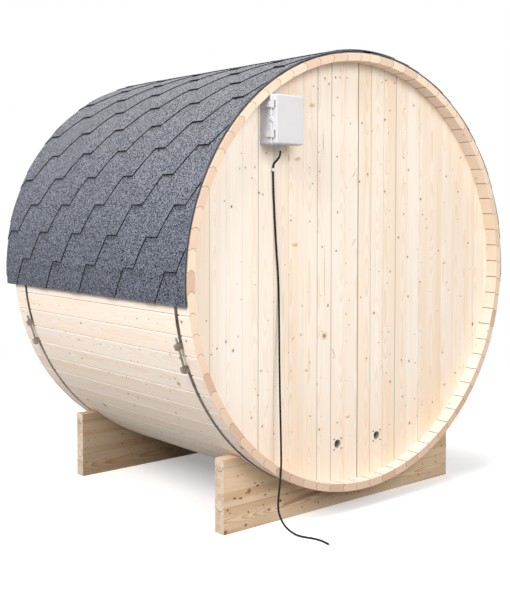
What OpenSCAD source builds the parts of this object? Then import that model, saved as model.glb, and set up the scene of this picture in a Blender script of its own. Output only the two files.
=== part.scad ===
// Barrel sauna of cove-and-bead staves on two cradles, seen from its back end.
// Millimetres. +Z is up, the barrel's axis runs along Y and its back end faces -Y.
// The origin lies on the ground under the middle of the whole object.

/* [Barrel] */
// Radius of the barrel, to the outer corners of its staves
barrel_r = 915; // [800:5:1100]
// Length of the staves
barrel_l = 1400; // [1000:10:2400]
// Height of the barrel's lowest stave over the ground
ground_clear = 86; // [40:1:140]
// Thickness of a stave
stave_t = 32; // [26:1:44]
// Number of full staves round the barrel
stave_count = 71; // [60:1:84]
// Width of the narrow closing stave left of the top
closing_left_w = 54; // [40:1:76]
// Width of the narrow closing stave right of the top
closing_right_w = 63; // [40:1:76]
// Angle of the straight joint between the two closing staves
closing_angle = 89.65; // [85:0.05:95]
// How far a bead stands out of its stave's edge
bead_h = 9; // [4:0.5:10]
// Flat lip on each side of a bead
bead_lip = 4; // [2:0.5:6]
// Gap in the joint between two staves
stave_gap = 0.4; // [0.2:0.1:1]
// Small bevel along the outer edges of a stave
stave_bevel = 2; // [0.5:0.1:2.5]

/* [End walls] */
// Depth of an end wall behind the rim of the staves
wall_recess = 61; // [40:1:120]
// Thickness of an end wall
wall_t = 32; // [26:1:44]
// Depth of the groove in the staves that holds an end wall
groove_depth = 10; // [6:1:14]
// Clearance of an end wall in its groove
groove_clear = 0.3; // [0.2:0.1:1]
// Width of a wall board
board_w = 77.7; // [60:0.1:140]
// Place of the board joint nearest the middle of the back wall
board_joint_x = 4; // [-30:1:30]
// Length of a board's tongue
tongue_l = 7; // [4:0.5:10]
// Thickness of a board's tongue
tongue_t = 7; // [5:0.5:10]
// Gap in the joint between two boards
board_gap = 0.4; // [0.2:0.1:1]
// Small bevel along the edges of a board
board_bevel = 1.2; // [0.5:0.1:3]

/* [Vents] */
// Diameter of a vent hole through the back wall
vent_d = 36; // [20:1:60]
// Distance between the two vent holes
vent_spacing = 235; // [120:1:400]
// Place of the middle between the vent holes
vent_mid_x = 7.5; // [-60:0.5:60]
// Height of the vent holes over the lowest point inside the barrel
vent_rise = 163; // [120:1:260]
// Side of the square screen behind a vent hole
screen_w = 58; // [40:1:90]
// Thickness of a screen
screen_t = 1.5; // [1:0.5:3]
// Distance between two wires of a screen
screen_pitch = 7; // [5:0.5:10]
// Width of a screen's wire
screen_wire = 1.5; // [1:0.1:2.5]

/* [Door in the front wall] */
// Width of the doorway cut in the front wall
doorway_w = 622; // [540:1:700]
// Height of the front wall over the doorway, at the middle
over_door_h = 132; // [115:1:260]
// Height of the front wall under the doorway, at the middle
under_door_h = 202; // [115:1:300]
// Width of the door frame's timber
door_frame_w = 30; // [20:1:45]
// How far the door frame stands proud of the wall
door_frame_proud = 10; // [4:1:20]
// Gap between the door and its frame
door_gap = 5; // [3:0.5:8]
// Thickness of the door's boards
door_t = 32; // [26:1:40]
// Number of boards in the door
door_boards_count = 7; // [5:1:9]
// Height of a ledge across the door's inner face
ledge_h = 90; // [60:1:130]
// Thickness of a ledge
ledge_t = 24; // [16:1:32]
// Distance of a ledge and its hinge from the door's end
ledge_inset = 200; // [120:5:320]
// Length of a hinge strap on the door
strap_l = 240; // [120:5:360]
// Height of a hinge strap
strap_h = 36; // [24:1:50]
// Thickness of a hinge strap
strap_t = 4; // [3:0.5:6]
// Length of the door handle
handle_l = 260; // [180:5:360]
// Width of the door handle's bar
handle_w = 36; // [26:1:44]
// Depth of the finger space behind the handle's bar
handle_reach = 40; // [32:1:60]

/* [Cradles] */
// Length of a cradle board
cradle_l = 1328; // [1000:4:1500]
// Height of a cradle
cradle_h = 296; // [240:1:340]
// Thickness of a cradle
cradle_t = 56; // [40:1:80]
// Distance of a cradle's outer face from the barrel's end
cradle_inset = 120; // [110:1:240]
// Height of the lowest board in a cradle
cradle_low_h = 104; // [80:1:140]
// Height of the top board in a cradle
cradle_top_h = 33; // [33:1:60]
// How far the bead under a cradle board reaches down
cradle_bead_h = 17; // [10:1:19]
// Flat lip on each side of a cradle bead
cradle_lip = 5; // [4:0.5:8]
// Gap between the cradle and the staves, and between cradle boards
cradle_gap = 0.3; // [0.2:0.1:0.8]

/* [Bands] */
// Width of a steel band
band_w = 18; // [12:1:30]
// Thickness of a steel band
band_t = 1.2; // [0.8:0.1:2]
// Distance of the back band's middle from the barrel's back end
band_inset_back = 82; // [60:1:105]
// Distance of the front band's middle from the barrel's front end
band_inset_front = 107; // [60:1:108]
// Angle of the middle of the back band's tensioner on the left flank
back_tensioner_angle = 197.55; // [192:0.05:205]
// Angle of the middle of the front band's tensioner
front_tensioner_angle = 198.95; // [192:0.05:205]
// Distance between the middles of the two lugs of a tensioner
lug_spacing = 91; // [70:1:120]
// Length of a lug along the band
lug_l = 22; // [18:1:30]
// Height of a lug over the band
lug_h = 25; // [20:1:34]
// Width of a lug across the band
lug_w = 17; // [14:1:28]
// Diameter of the tensioner bolt
bolt_d = 8; // [6:1:10]
// Reach of the bolt's tip past the upper lug
bolt_tip = 24; // [10:1:30]

/* [Roof] */
// Reach of the roof past the barrel's front end
roof_overhang = 61; // [20:1:120]
// Distance of the roof's back edge from the barrel's back end
roof_back_inset = 6; // [2:1:30]
// Depth of the roof's lower edges below the barrel's axis
roof_drop = 84; // [40:1:140]
// Thickness of the felt under the shingles
felt_t = 2; // [1:0.5:4]
// Thickness of a shingle
shingle_t = 3; // [2:0.5:4]
// Height of a course of shingles that shows, before it is fitted to the roof
course_h = 123; // [105:1:145]
// Part of a course that the second course above it covers
course_lap = 24; // [15:1:40]
// Width of the ridge strip
ridge_w = 333; // [260:1:420]
// Distance between the top edges of the two sides under the ridge strip
crown_gap = 12; // [6:1:30]
// Distance between two tabs of a course
tab_pitch = 290; // [240:1:340]
// Width of a tab's lower edge
tab_w = 76; // [50:1:110]
// Distance of the first tab's middle, in every second course, from the barrel's back end
tab_start = 94; // [0:1:290]
// Gap between two layers of the roof
roof_gap = 0.3; // [0.2:0.1:0.8]

/* [Electrical box] */
// Width of the box
box_w = 145; // [110:1:170]
// Height of the box
box_h = 192; // [150:1:210]
// Depth of the box from the wall to its cover's face
box_d = 100; // [80:1:120]
// Place of the box's middle across the wall
box_x = -462; // [-475:1:-380]
// Rounding of the corners of the box's base
base_round = 5; // [3.5:0.5:14]
// Gap between the upper left corner of the box's base and the staves
box_corner_gap = 2.2; // [2:0.1:40]
// Depth of the cover
cover_d = 25; // [18:1:35]
// Wall thickness of the box and its cover
box_wall = 3; // [2:0.5:4]
// Bevel round the cover's face
cover_bevel = 4; // [2:0.5:6]
// Gap between the cover and the box
cover_gap = 1.5; // [1:0.1:3]
// Width of the flange round the box's mouth
flange_w = 3; // [2:0.5:5]
// Depth of that flange
flange_d = 8; // [5:0.5:14]
// How far the cover's sides stand back from the flange
cover_inset = 2.5; // [1:0.5:5]
// Diameter of the hinge pin
pin_d = 4; // [3:0.5:5]
// Diameter of a hinge knuckle
knuckle_d = 9; // [8:0.5:12]
// Length of a hinge knuckle
knuckle_l = 26; // [18:1:32]
// Distance between the two latches
latch_spacing = 113; // [70:1:130]
// Height of a latch's block
latch_h = 30; // [18:1:36]
// Height of a latch's lever
lever_h = 22; // [14:1:28]
// Thickness of a latch
latch_t = 6; // [4:0.5:8]
// Depth of a latch's block on the cover
latch_block = 11; // [8:1:14]
// Reach of a latch's lever over the box's side
latch_reach = 30; // [16:1:40]
// Width of the slot through the cover's side before a latch
latch_slot = 5; // [3:0.5:6]
// Reach of the padlock eyes
eye_w = 15; // [10:1:22]
// Height of the padlock eyes
eye_h = 22; // [16:1:40]
// Diameter of the hole in a padlock eye
eye_hole_d = 4.5; // [3:0.5:8]
// Thickness of a padlock eye
eye_t = 3; // [2:0.5:4]
// Diameter of the cable gland
gland_d = 24; // [18:1:30]
// Length of the cable gland under the box
gland_l = 22; // [20:1:30]
// Distance of the gland from the wall
gland_y = 32; // [26:1:50]
// Place of the gland across the box, from the box's middle
gland_x = 6; // [-30:1:30]

/* [Cord] */
// Diameter of the supply cord
cord_d = 8; // [6:0.5:8.5]
// Width of the clip that holds the cord to the wall
clip_w = 18; // [14:1:28]
// Height of that clip
clip_h = 12; // [8:1:18]
// Thickness of the clip behind the cord
clip_back = 2; // [1:0.5:4]
// Clearance of the cord in its clip
clip_clear = 0.4; // [0.3:0.1:0.8]
// Distance of the clip's lower edge under the gland
clip_drop = 80; // [70:1:140]
// Distance of the clip from the gland towards the rim
clip_shift = 14; // [0:1:20]

/* [Hidden] */

$fn = 96;
// Overlap of a cutting shape past the face that it cuts
cut = 1;

// Places along Y: the box's cover and the roof's overhang set the whole depth
axis_z = barrel_r + ground_clear;
box_reach = box_d - wall_recess;
barrel_y = (box_reach - roof_overhang) / 2;
back_end_y = barrel_y - barrel_l / 2;
front_end_y = barrel_y + barrel_l / 2;
back_face_y = back_end_y + wall_recess;
front_face_y = front_end_y - wall_recess;

// Angles of the staves
closing_left_a = 2 * asin(closing_left_w / 2 / barrel_r);
closing_right_a = 2 * asin(closing_right_w / 2 / barrel_r);
stave_a = (360 - closing_left_a - closing_right_a) / stave_count;
stave_groups = 8;
inner_r = barrel_r * cos(stave_a / 2) - stave_t;
wall_r = inner_r + groove_depth - groove_clear;

// Radius of a bead that stands h proud and leaves a lip at both faces of a piece t thick
function bead_radius(t, lip, h) = (pow(t / 2 - lip, 2) + h * h) / (2 * h);
bead_r = bead_radius(stave_t, bead_lip, bead_h);
cradle_bead_r = bead_radius(cradle_t, cradle_lip, cradle_bead_h);
vent_drop = inner_r - vent_rise;

// Layers over the staves
band_r = barrel_r + roof_gap;
felt_r = band_r + band_t + roof_gap;
shingle_r = felt_r + felt_t + roof_gap;
roof_a = 90 + asin(roof_drop / barrel_r);
ridge_a = ridge_w / 2 / barrel_r * 180 / PI;
lap_a = course_lap / barrel_r * 180 / PI;
crown_a = crown_gap / 2 / barrel_r * 180 / PI;
course_count = round((roof_a - ridge_a) * PI / 180 * barrel_r / course_h);
course_a = (roof_a - ridge_a) / course_count;
span_a = 2 * course_a + lap_a;
course_rise = (shingle_t + roof_gap) * span_a / course_a;
roof_l = barrel_l - roof_back_inset + roof_overhang;
roof_y = barrel_y + (roof_back_inset + roof_overhang) / 2;
course_steps = 10;

// Bands and their tensioners
back_band_y = back_end_y + band_inset_back;
front_band_y = front_end_y - band_inset_front;
bolt_r = band_r + band_t + lug_h / 2;
bolt_head_h = bolt_d * 0.65;
bolt_head_d = bolt_d * 1.8;
lug_sink = lug_h / 4;

// Doorway and door
doorway_h = 2 * wall_r - over_door_h - under_door_h;
doorway_z = axis_z - wall_r + under_door_h;
door_w = doorway_w - 2 * (door_frame_w + door_gap);
door_h = doorway_h - 2 * (door_frame_w + door_gap);
door_z = doorway_z + door_frame_w + door_gap;
door_mid_y = front_face_y - wall_t / 2;
door_out_y = door_mid_y + door_t / 2;
side_board_count = ceil((wall_r - doorway_w / 2) / board_w);
over_board_count = round(doorway_w / board_w);
hinge_r = 8;
jamb_plate_w = 20;
handle_foot_h = 44;

// Electrical box: its mouth and hinge
box_back_y = back_face_y;
mouth_y = box_back_y - (box_d - cover_d);
box_left_x = box_x - box_w / 2;
box_right_x = box_x + box_w / 2;
base_corner = base_round + flange_w;
corner_reach = inner_r - box_corner_gap - base_round;
box_top_z = sqrt(pow(corner_reach, 2) - pow(box_left_x + base_corner, 2)) + base_corner;
box_mid_z = axis_z + box_top_z - box_h / 2;
base_w = box_w - 2 * flange_w;
base_h = box_h - 2 * flange_w;
cover_w = box_w - 2 * cover_inset;
cover_h = box_h - 2 * cover_inset;
cover_left_x = box_left_x + cover_inset;
cover_right_x = box_right_x - cover_inset;
cover_round = base_corner - cover_inset;
hinge_x = box_right_x + knuckle_d / 2 + cover_gap;
hinge_y = mouth_y - cover_gap / 2;
pin_clear = 0.2;
base_knuckle_z = knuckle_l + cover_gap;
pin_l = 3 * knuckle_l + 2 * cover_gap;
eye_hole_x = eye_w * 0.45;
gland_hex_l = gland_l * 0.4;
gland_taper_l = gland_l * 0.45;
gland_nut_d = gland_d * 0.8;
gland_z = box_mid_z - base_h / 2 - gland_l;

// Route of the supply cord: gland, wall clip, rim, ground
cord_route = [
    [-456, -682, 1496.5], [-456, -682, 1488.5], [-457.8, -678.6, 1472], [-463, -669, 1459],
    [-468.2, -659.4, 1446], [-470, -656, 1429.5], [-470, -656, 1412], [-470, -656, 1390],
    [-466, -656, 1300], [-454, -656, 1125], [-444, -656, 1010], [-442, -658, 930], [-461, -687, 590],
    [-475, -713, 310], [-479, -717, 255], [-484, -717, 200], [-490, -717, 155], [-494, -718, 110],
    [-491, -724, 74], [-481, -746, 35], [-464, -780, 11], [-448, -812, 4.2], [-436, -840, 4.2],
    [-427, -870, 4.2], [-425, -900, 4.2], [-430, -935, 4.2], [-444, -985, 4.2]
];
cord_step = 27;
cord_sides = 10;
clip_x = box_x + gland_x - clip_shift;
clip_z = gland_z - clip_drop;

wood = [0.96, 0.87, 0.75];
end_wood = [0.93, 0.82, 0.69];
cradle_wood = [0.86, 0.72, 0.55];
steel = [0.52, 0.50, 0.47];
bitumen = [0.36, 0.39, 0.44];
felt = [0.30, 0.34, 0.42];
pale_plastic = [0.88, 0.88, 0.89];
black = [0.08, 0.08, 0.09];

// Point at a radius and an angle in the barrel's cross-section
function polar(r, a) = [r * cos(a), r * sin(a)];

// Turns a cross-section into a length along Y round the barrel's axis
module along_barrel(mid_y, length) {
    translate([0, mid_y, axis_z])
        rotate([90, 0, 0])
            linear_extrude(height = length, center = true)
                children();
}

// Solid disc round the barrel's axis
module barrel_disc(mid_y, r, length) {
    translate([0, mid_y, axis_z])
        rotate([90, 0, 0])
            cylinder(r = r, h = length, center = true, $fn = 180);
}

// Circle of the bead on the joint at angle a, grown by a clearance
module bead_circle(a, grow) {
    mid_r = barrel_r - stave_t / 2;
    translate(polar(mid_r, a) + polar(bead_r - bead_h, a + 90))
        circle(r = bead_r + grow, $fn = 64);
}

// Cross-section of a stave from angle a over w degrees, with a bead at a and a cove at its other edge
module stave_section(a, w, bead, cove) {
    slack = stave_gap / 2 / barrel_r * 180 / PI;
    bevel_a = stave_bevel / barrel_r * 180 / PI;
    inner_corner = (barrel_r * cos(w / 2) - stave_t) / cos(w / 2);
    difference() {
        union() {
            polygon([
                polar(barrel_r - stave_bevel, a + slack),
                polar(barrel_r, a + slack + bevel_a),
                polar(barrel_r, a + w - slack - bevel_a),
                polar(barrel_r - stave_bevel, a + w - slack),
                polar(inner_corner, a + w - slack),
                polar(inner_corner, a + slack)
            ]);
            if (bead) bead_circle(a, 0);
        }
        if (cove) bead_circle(a + w, stave_gap);
    }
}

// One stave with the grooves that hold the two end walls
module stave(a, w, bead = true, cove = true) {
    difference() {
        along_barrel(barrel_y, barrel_l) stave_section(a, w, bead, cove);
        for (mid_y = [back_face_y + wall_t / 2, front_face_y - wall_t / 2])
            barrel_disc(mid_y, inner_r + groove_depth, wall_t + 2 * groove_clear);
    }
}

// Full staves of one eighth of the ring, counted clockwise from the closing staves
module stave_group(group) {
    first = round(group * stave_count / stave_groups);
    last = round((group + 1) * stave_count / stave_groups) - 1;
    start_a = closing_angle - closing_right_a;
    color(wood)
        for (k = [first : last])
            stave(start_a - (k + 1) * stave_a, stave_a);
}

module upper_right_staves() { stave_group(0); }
module right_staves() { stave_group(1); }
module lower_right_staves() { stave_group(2); }
module bottom_right_staves() { stave_group(3); }
module bottom_left_staves() { stave_group(4); }
module lower_left_staves() { stave_group(5); }
module left_staves() { stave_group(6); }
module upper_left_staves() { stave_group(7); }

module closing_staves() {
    color(wood) {
        stave(closing_angle - closing_right_a, closing_right_a, true, false);
        stave(closing_angle, closing_left_a, false, true);
    }
}

// Plan of a plank from x0 to x1 and t thick, with a small bevel at each corner
module bevelled_rectangle(x0, x1, t) {
    b = board_bevel;
    h = t / 2;
    polygon([
        [x0, b - h], [x0 + b, -h], [x1 - b, -h], [x1, b - h],
        [x1, h - b], [x1 - b, h], [x0 + b, h], [x0, h - b]
    ]);
}

// Plan of a board from x0 to x1 and t thick, with a tongue at its right edge and a groove at its left
module board_plan(x0, x1, t, tongue, groove) {
    difference() {
        union() {
            bevelled_rectangle(x0 + board_gap / 2, x1 - board_gap / 2, t);
            if (tongue)
                translate([x1 - board_gap, -tongue_t / 2])
                    square([tongue_l + board_gap, tongue_t]);
        }
        if (groove)
            translate([x0 - cut, -tongue_t / 2 - board_gap])
                square([tongue_l + board_gap * 2 + cut, tongue_t + 2 * board_gap]);
    }
}

// Row of upright boards between the listed joints, from z0 to z1
module board_row(joints, t, mid_y, z0, z1, end_tongue = false, end_groove = false) {
    last = len(joints) - 2;
    for (i = [0 : last])
        translate([0, mid_y, z0])
            linear_extrude(height = z1 - z0)
                board_plan(joints[i], joints[i + 1], t, i < last || end_tongue, i > 0 || end_groove);
}

// Row of upright boards cut to the round of an end wall
module wall_boards(joints, mid_y, z0, z1) {
    last = len(joints) - 2;
    for (i = [0 : last])
        intersection() {
            translate([0, mid_y, z0])
                linear_extrude(height = z1 - z0)
                    board_plan(joints[i], joints[i + 1], wall_t, i < last, i > 0);
            barrel_disc(mid_y, wall_r, wall_t + 2 * cut);
        }
}

// Joints of the back wall, from one side of the barrel to the other
function back_joints() =
    let (first = ceil((-wall_r - board_joint_x) / board_w), last = floor((wall_r - board_joint_x) / board_w))
    concat([-wall_r], [for (k = [first : last]) board_joint_x + k * board_w], [wall_r]);

// Place of the two vent holes on the back wall
module at_vents(y) {
    for (side = [-1, 1])
        translate([vent_mid_x + side * vent_spacing / 2, y, axis_z - vent_drop])
            rotate([90, 0, 0])
                children();
}

module back_wall() {
    mid_y = back_face_y + wall_t / 2;
    color(wood)
        difference() {
            wall_boards(back_joints(), mid_y, axis_z - wall_r, axis_z + wall_r);
            at_vents(mid_y) cylinder(d = vent_d, h = wall_t + 2 * cut, center = true);
        }
}

module vent_screens() {
    cells = floor((vent_d / 2 - screen_wire) / screen_pitch);
    hole = screen_pitch - screen_wire;
    color(steel)
        at_vents(back_face_y + wall_t + screen_t)
            linear_extrude(height = screen_t)
                difference() {
                    square(screen_w, center = true);
                    for (i = [-cells : cells])
                        for (j = [-cells : cells])
                            translate([i * screen_pitch, j * screen_pitch])
                                square(hole, center = true);
                }
}

// Joints of the boards beside the doorway, from the doorway outwards
function side_joints() =
    [for (k = [0 : side_board_count]) min(doorway_w / 2 + k * board_w, wall_r)];

module front_wall_right() {
    color(wood)
        wall_boards(side_joints(), front_face_y - wall_t / 2, axis_z - wall_r, axis_z + wall_r);
}

module front_wall_left() {
    color(wood)
        mirror([1, 0, 0])
            wall_boards(side_joints(), front_face_y - wall_t / 2, axis_z - wall_r, axis_z + wall_r);
}

// Joints of the short boards over and under the doorway
function over_joints() =
    [for (k = [0 : over_board_count]) doorway_w * (k / over_board_count - 0.5)];

module front_wall_over_door() {
    color(wood)
        wall_boards(over_joints(), front_face_y - wall_t / 2, doorway_z + doorway_h, axis_z + wall_r);
}

module front_wall_under_door() {
    color(wood)
        wall_boards(over_joints(), front_face_y - wall_t / 2, axis_z - wall_r, doorway_z);
}

module door_frame() {
    depth = wall_t + 2 * door_frame_proud;
    slack = board_gap / 2;
    rail_l = doorway_w - 2 * door_frame_w - 2 * slack;
    color(end_wood) {
        for (side = [-1, 1])
            translate([side * (doorway_w - door_frame_w - slack) / 2, door_mid_y, doorway_z + doorway_h / 2])
                cube([door_frame_w - slack, depth, doorway_h - 2 * slack], center = true);
        for (z = [doorway_z + door_frame_w / 2, doorway_z + doorway_h - door_frame_w / 2])
            translate([0, door_mid_y, z])
                cube([rail_l, depth, door_frame_w - 2 * slack], center = true);
    }
}

module door_boards() {
    joints = [for (k = [0 : door_boards_count]) door_w * (k / door_boards_count - 0.5)];
    color(wood)
        board_row(joints, door_t, door_mid_y, door_z, door_z + door_h);
}

// Heights of the two ledges and hinges
function ledge_heights() = [door_z + ledge_inset, door_z + door_h - ledge_inset];

module door_ledges() {
    color(end_wood)
        for (z = ledge_heights())
            translate([-(door_w - 2 * door_gap) / 2, door_mid_y - door_t / 2 - ledge_t, z - ledge_h / 2])
                cube([door_w - 2 * door_gap, ledge_t, ledge_h]);
}

// Strap hinge that lies on the door's outer face and turns on the edge of the frame
module door_hinges() {
    jamb_x = door_w / 2 + door_gap;
    frame_out_y = door_mid_y + wall_t / 2 + door_frame_proud;
    color(steel)
        for (z = ledge_heights())
            translate([0, 0, z - strap_h / 2]) {
                translate([jamb_x - door_gap - strap_l, door_out_y, 0])
                    cube([strap_l - hinge_r, strap_t, strap_h]);
                translate([jamb_x - door_gap - hinge_r - strap_t, door_out_y, 0])
                    cube([strap_t, frame_out_y - door_out_y + hinge_r, strap_h]);
                translate([jamb_x - hinge_r, frame_out_y + hinge_r, 0])
                    cylinder(r = hinge_r, h = strap_h);
                translate([jamb_x - hinge_r, frame_out_y, 0])
                    cube([hinge_r + jamb_plate_w, strap_t, strap_h]);
                translate([jamb_x - door_gap - hinge_r - strap_t, frame_out_y + hinge_r - strap_t / 2, 0])
                    cube([hinge_r, strap_t, strap_h]);
            }
}

module door_handle() {
    handle_x = -door_w / 2 + door_w / door_boards_count;
    mid_z = door_z + door_h / 2;
    color(cradle_wood)
        translate([handle_x - handle_w / 2, door_out_y, mid_z - handle_l / 2])
            difference() {
                cube([handle_w, handle_reach + handle_w, handle_l]);
                translate([-cut, -cut, handle_foot_h])
                    cube([handle_w + 2 * cut, handle_reach + cut, handle_l - 2 * handle_foot_h]);
            }
}

// Side view of the cradle board from z0 to z1, in the plane of Y and Z. Its bead is below, its cove above.
module cradle_board_section(z0, z1, bead, cove) {
    rise = cradle_bead_r - cradle_bead_h;
    foot = bead ? z0 + cradle_gap : z0;
    difference() {
        union() {
            translate([-cradle_t / 2, foot])
                square([cradle_t, z1 - foot]);
            if (bead)
                translate([0, z0 + rise])
                    circle(r = cradle_bead_r);
        }
        if (cove)
            translate([0, z1 + rise])
                circle(r = cradle_bead_r + cradle_gap);
    }
}

// Cradle of three stacked boards, cut out to the barrel
module cradle(mid_y) {
    joints = [0, cradle_low_h, cradle_h - cradle_top_h, cradle_h];
    color(cradle_wood)
        difference() {
            for (k = [0 : len(joints) - 2])
                translate([0, mid_y, 0])
                    rotate([90, 0, 90])
                        linear_extrude(height = cradle_l, center = true)
                            cradle_board_section(joints[k], joints[k + 1], k > 0, k < len(joints) - 2);
            barrel_disc(mid_y, barrel_r + cradle_gap, cradle_t + 2 * cut);
        }
}

module back_cradle() { cradle(back_end_y + cradle_inset + cradle_t / 2); }
module front_cradle() { cradle(front_end_y - cradle_inset - cradle_t / 2); }

// Ring of rectangular section round the barrel, from angle a0 over sweep degrees
module barrel_ring(mid_y, r, t, w, a0, sweep) {
    translate([0, mid_y, axis_z])
        rotate([90, 0, 0])
            rotate([0, 0, a0])
                rotate_extrude(angle = sweep, $fn = 180)
                    translate([r, -w / 2])
                        square([t, w]);
}

// Band whose two ends stop under the lugs of its tensioner
module band(mid_y, tensioner_a) {
    half_gap = (lug_spacing - lug_l) / 2 / barrel_r * 180 / PI;
    color(steel)
        barrel_ring(mid_y, band_r, band_t, band_w, tensioner_a + half_gap, 360 - 2 * half_gap);
}

// Place of a tensioner: X runs along the band upwards, Z out of the barrel
module at_tensioner(mid_y, tensioner_a) {
    translate([0, mid_y, axis_z])
        rotate([0, 90 - tensioner_a, 0])
            children();
}

// Two lugs on the ends of a band, bored for the bolt
module lugs(mid_y, tensioner_a) {
    seat_r = band_r + band_t + roof_gap;
    color(steel)
        difference() {
            at_tensioner(mid_y, tensioner_a)
                for (side = [-1, 1])
                    translate([side * lug_spacing / 2 - lug_l / 2, -lug_w / 2, seat_r - lug_sink])
                        cube([lug_l, lug_w, lug_h + lug_sink]);
            barrel_disc(mid_y, seat_r, lug_w + 2 * cut);
            at_tensioner(mid_y, tensioner_a)
                translate([0, 0, bolt_r])
                    rotate([0, 90, 0])
                        cylinder(d = bolt_d + 2 * pin_clear, h = 2 * lug_spacing, center = true);
        }
}

// Threaded bolt with its head under the lower lug and a nut over the upper one
module tension_bolt(mid_y, tensioner_a) {
    lower = -lug_spacing / 2 - lug_l / 2;
    upper = lug_spacing / 2 + lug_l / 2;
    color(steel)
        at_tensioner(mid_y, tensioner_a)
            translate([0, 0, bolt_r])
                rotate([0, 90, 0]) {
                    translate([0, 0, lower - bolt_head_h])
                        cylinder(d = bolt_head_d, h = bolt_head_h, $fn = 6);
                    translate([0, 0, lower - bolt_head_h])
                        cylinder(d = bolt_d, h = upper - lower + bolt_head_h + bolt_tip);
                    translate([0, 0, upper])
                        cylinder(d = bolt_head_d, h = bolt_head_h, $fn = 6);
                }
}

module back_band() { band(back_band_y, back_tensioner_angle); }
module front_band() { band(front_band_y, front_tensioner_angle); }
module back_band_lugs() { lugs(back_band_y, back_tensioner_angle); }
module front_band_lugs() { lugs(front_band_y, front_tensioner_angle); }
module back_band_bolt() { tension_bolt(back_band_y, back_tensioner_angle); }
module front_band_bolt() { tension_bolt(front_band_y, front_tensioner_angle); }

module roof_felt() {
    color(felt)
        barrel_ring(roof_y, felt_r, felt_t, roof_l, 90 - roof_a, 2 * roof_a);
}

// Section of a course with its lower edge at angle a, from u0 to u1 degrees up the roof.
// It leans: its lower edge lifts over the courses below, and its upper edge lies on the felt.
module course_section(a, u0, u1) {
    u = [for (i = [0 : course_steps]) u0 + (u1 - u0) * i / course_steps];
    r = [for (i = [0 : course_steps]) shingle_r + course_rise * (1 - u[i] / span_a)];
    inner = [for (i = [0 : course_steps]) polar(r[i], a - u[i])];
    outer = [for (i = [course_steps : -1 : 0]) polar(r[i] + shingle_t, a - u[i])];
    polygon(concat(inner, outer));
}

// Gap between two tabs of the course whose lower edge lies at angle a, cut through the course
module tab_notch(a, notch_y) {
    half = (shingle_r + course_rise) * sin(course_a / 2);
    depth = 2 * (course_rise + shingle_t);
    translate([0, notch_y, axis_z])
        rotate([0, course_a / 2 - a, 0])
            translate([shingle_r - depth / 2, 0, 0])
                rotate([90, 0, 90])
                    linear_extrude(height = 2 * depth)
                        polygon([
                            [-(tab_pitch - tab_w) / 2, half + cut], [(tab_pitch - tab_w) / 2, half + cut],
                            [tab_w / 2, -half], [-tab_w / 2, -half]
                        ]);
}

// Course k of one side with its tabs, half a pitch apart from those of the next course
module course(k) {
    a = 90 + roof_a - k * course_a;
    first_y = back_end_y + tab_start + (k % 2) * tab_pitch / 2;
    low = ceil((roof_y - roof_l / 2 - first_y) / tab_pitch - 0.5);
    high = floor((roof_y + roof_l / 2 - first_y) / tab_pitch + 0.5);
    difference() {
        along_barrel(roof_y, roof_l)
            course_section(a, 0, min(span_a, a - 90 - crown_a));
        for (j = [low : high])
            tab_notch(a, first_y + j * tab_pitch);
    }
}

// Starter strip under the lowest course, and the courses of one side up to the ridge
module courses() {
    color(bitumen) {
        along_barrel(roof_y, roof_l)
            course_section(90 + roof_a + course_a, course_a, span_a);
        for (k = [0 : course_count - 1])
            course(k);
    }
}

module left_shingles() { courses(); }
module right_shingles() { mirror([1, 0, 0]) courses(); }

module ridge_shingles() {
    color(bitumen)
        barrel_ring(roof_y, shingle_r + course_rise, shingle_t, roof_l, 90 - ridge_a, 2 * ridge_a);
}

// Plate of a padlock eye, in the plane of X and Z, that points to the left from its root
module padlock_eye(root, y) {
    translate([box_left_x, y, box_mid_z])
        rotate([90, 0, 0])
            linear_extrude(height = eye_t)
                difference() {
                    polygon([
                        [root, -eye_h / 2], [0, -eye_h / 2], [-eye_w, 0], [0, eye_h / 2], [root, eye_h / 2]
                    ]);
                    translate([-eye_hole_x, 0]) circle(d = eye_hole_d);
                }
}

// Hinge knuckle beside the box, with the web that carries it at depth web_y
module knuckle(z, web_x, web_y) {
    translate([hinge_x, hinge_y, z])
        cylinder(d = knuckle_d, h = knuckle_l, center = true);
    translate([web_x, min(hinge_y, web_y), z - knuckle_l / 2])
        cube([hinge_x - web_x, abs(web_y - hinge_y), knuckle_l]);
}

module hinge_bore() {
    translate([hinge_x, hinge_y, box_mid_z])
        cylinder(d = pin_d + 2 * pin_clear, h = pin_l + 2 * knuckle_l, center = true);
}

// Block of the electrical box from depth y0 to y1, w wide and h high, with its corners rounded by r
module box_block(w, h, y0, y1, r) {
    translate([box_x, y1, box_mid_z])
        rotate([90, 0, 0])
            linear_extrude(height = y1 - y0) {
                square([w - 2 * r, h], center = true);
                square([w, h - 2 * r], center = true);
                for (x = [-1, 1], z = [-1, 1])
                    translate([x * (w / 2 - r), z * (h / 2 - r)]) circle(r = r);
            }
}

// Hollow base with an open mouth and a flange round it
module box_base() {
    hollow_w = base_w - 2 * box_wall;
    hollow_h = base_h - 2 * box_wall;
    color(pale_plastic)
        difference() {
            union() {
                box_block(base_w, base_h, mouth_y, box_back_y, base_round);
                box_block(box_w, box_h, mouth_y, mouth_y + flange_d, base_corner);
                for (side = [-1, 1])
                    knuckle(box_mid_z + side * base_knuckle_z, box_right_x - cut, mouth_y + flange_d);
            }
            box_block(hollow_w, hollow_h, mouth_y - cut, box_back_y - box_wall, base_round - box_wall);
            translate([hinge_x, mouth_y, box_mid_z])
                cube([knuckle_d + 2 * cover_gap, knuckle_d * 3, knuckle_l + 2 * cover_gap], center = true);
            hinge_bore();
        }
}

module box_padlock_eye() {
    color(pale_plastic) padlock_eye(0, mouth_y + eye_t + cover_gap);
}

module cover_padlock_eye() {
    color(pale_plastic) padlock_eye(cover_inset, mouth_y - cover_gap);
}

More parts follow.
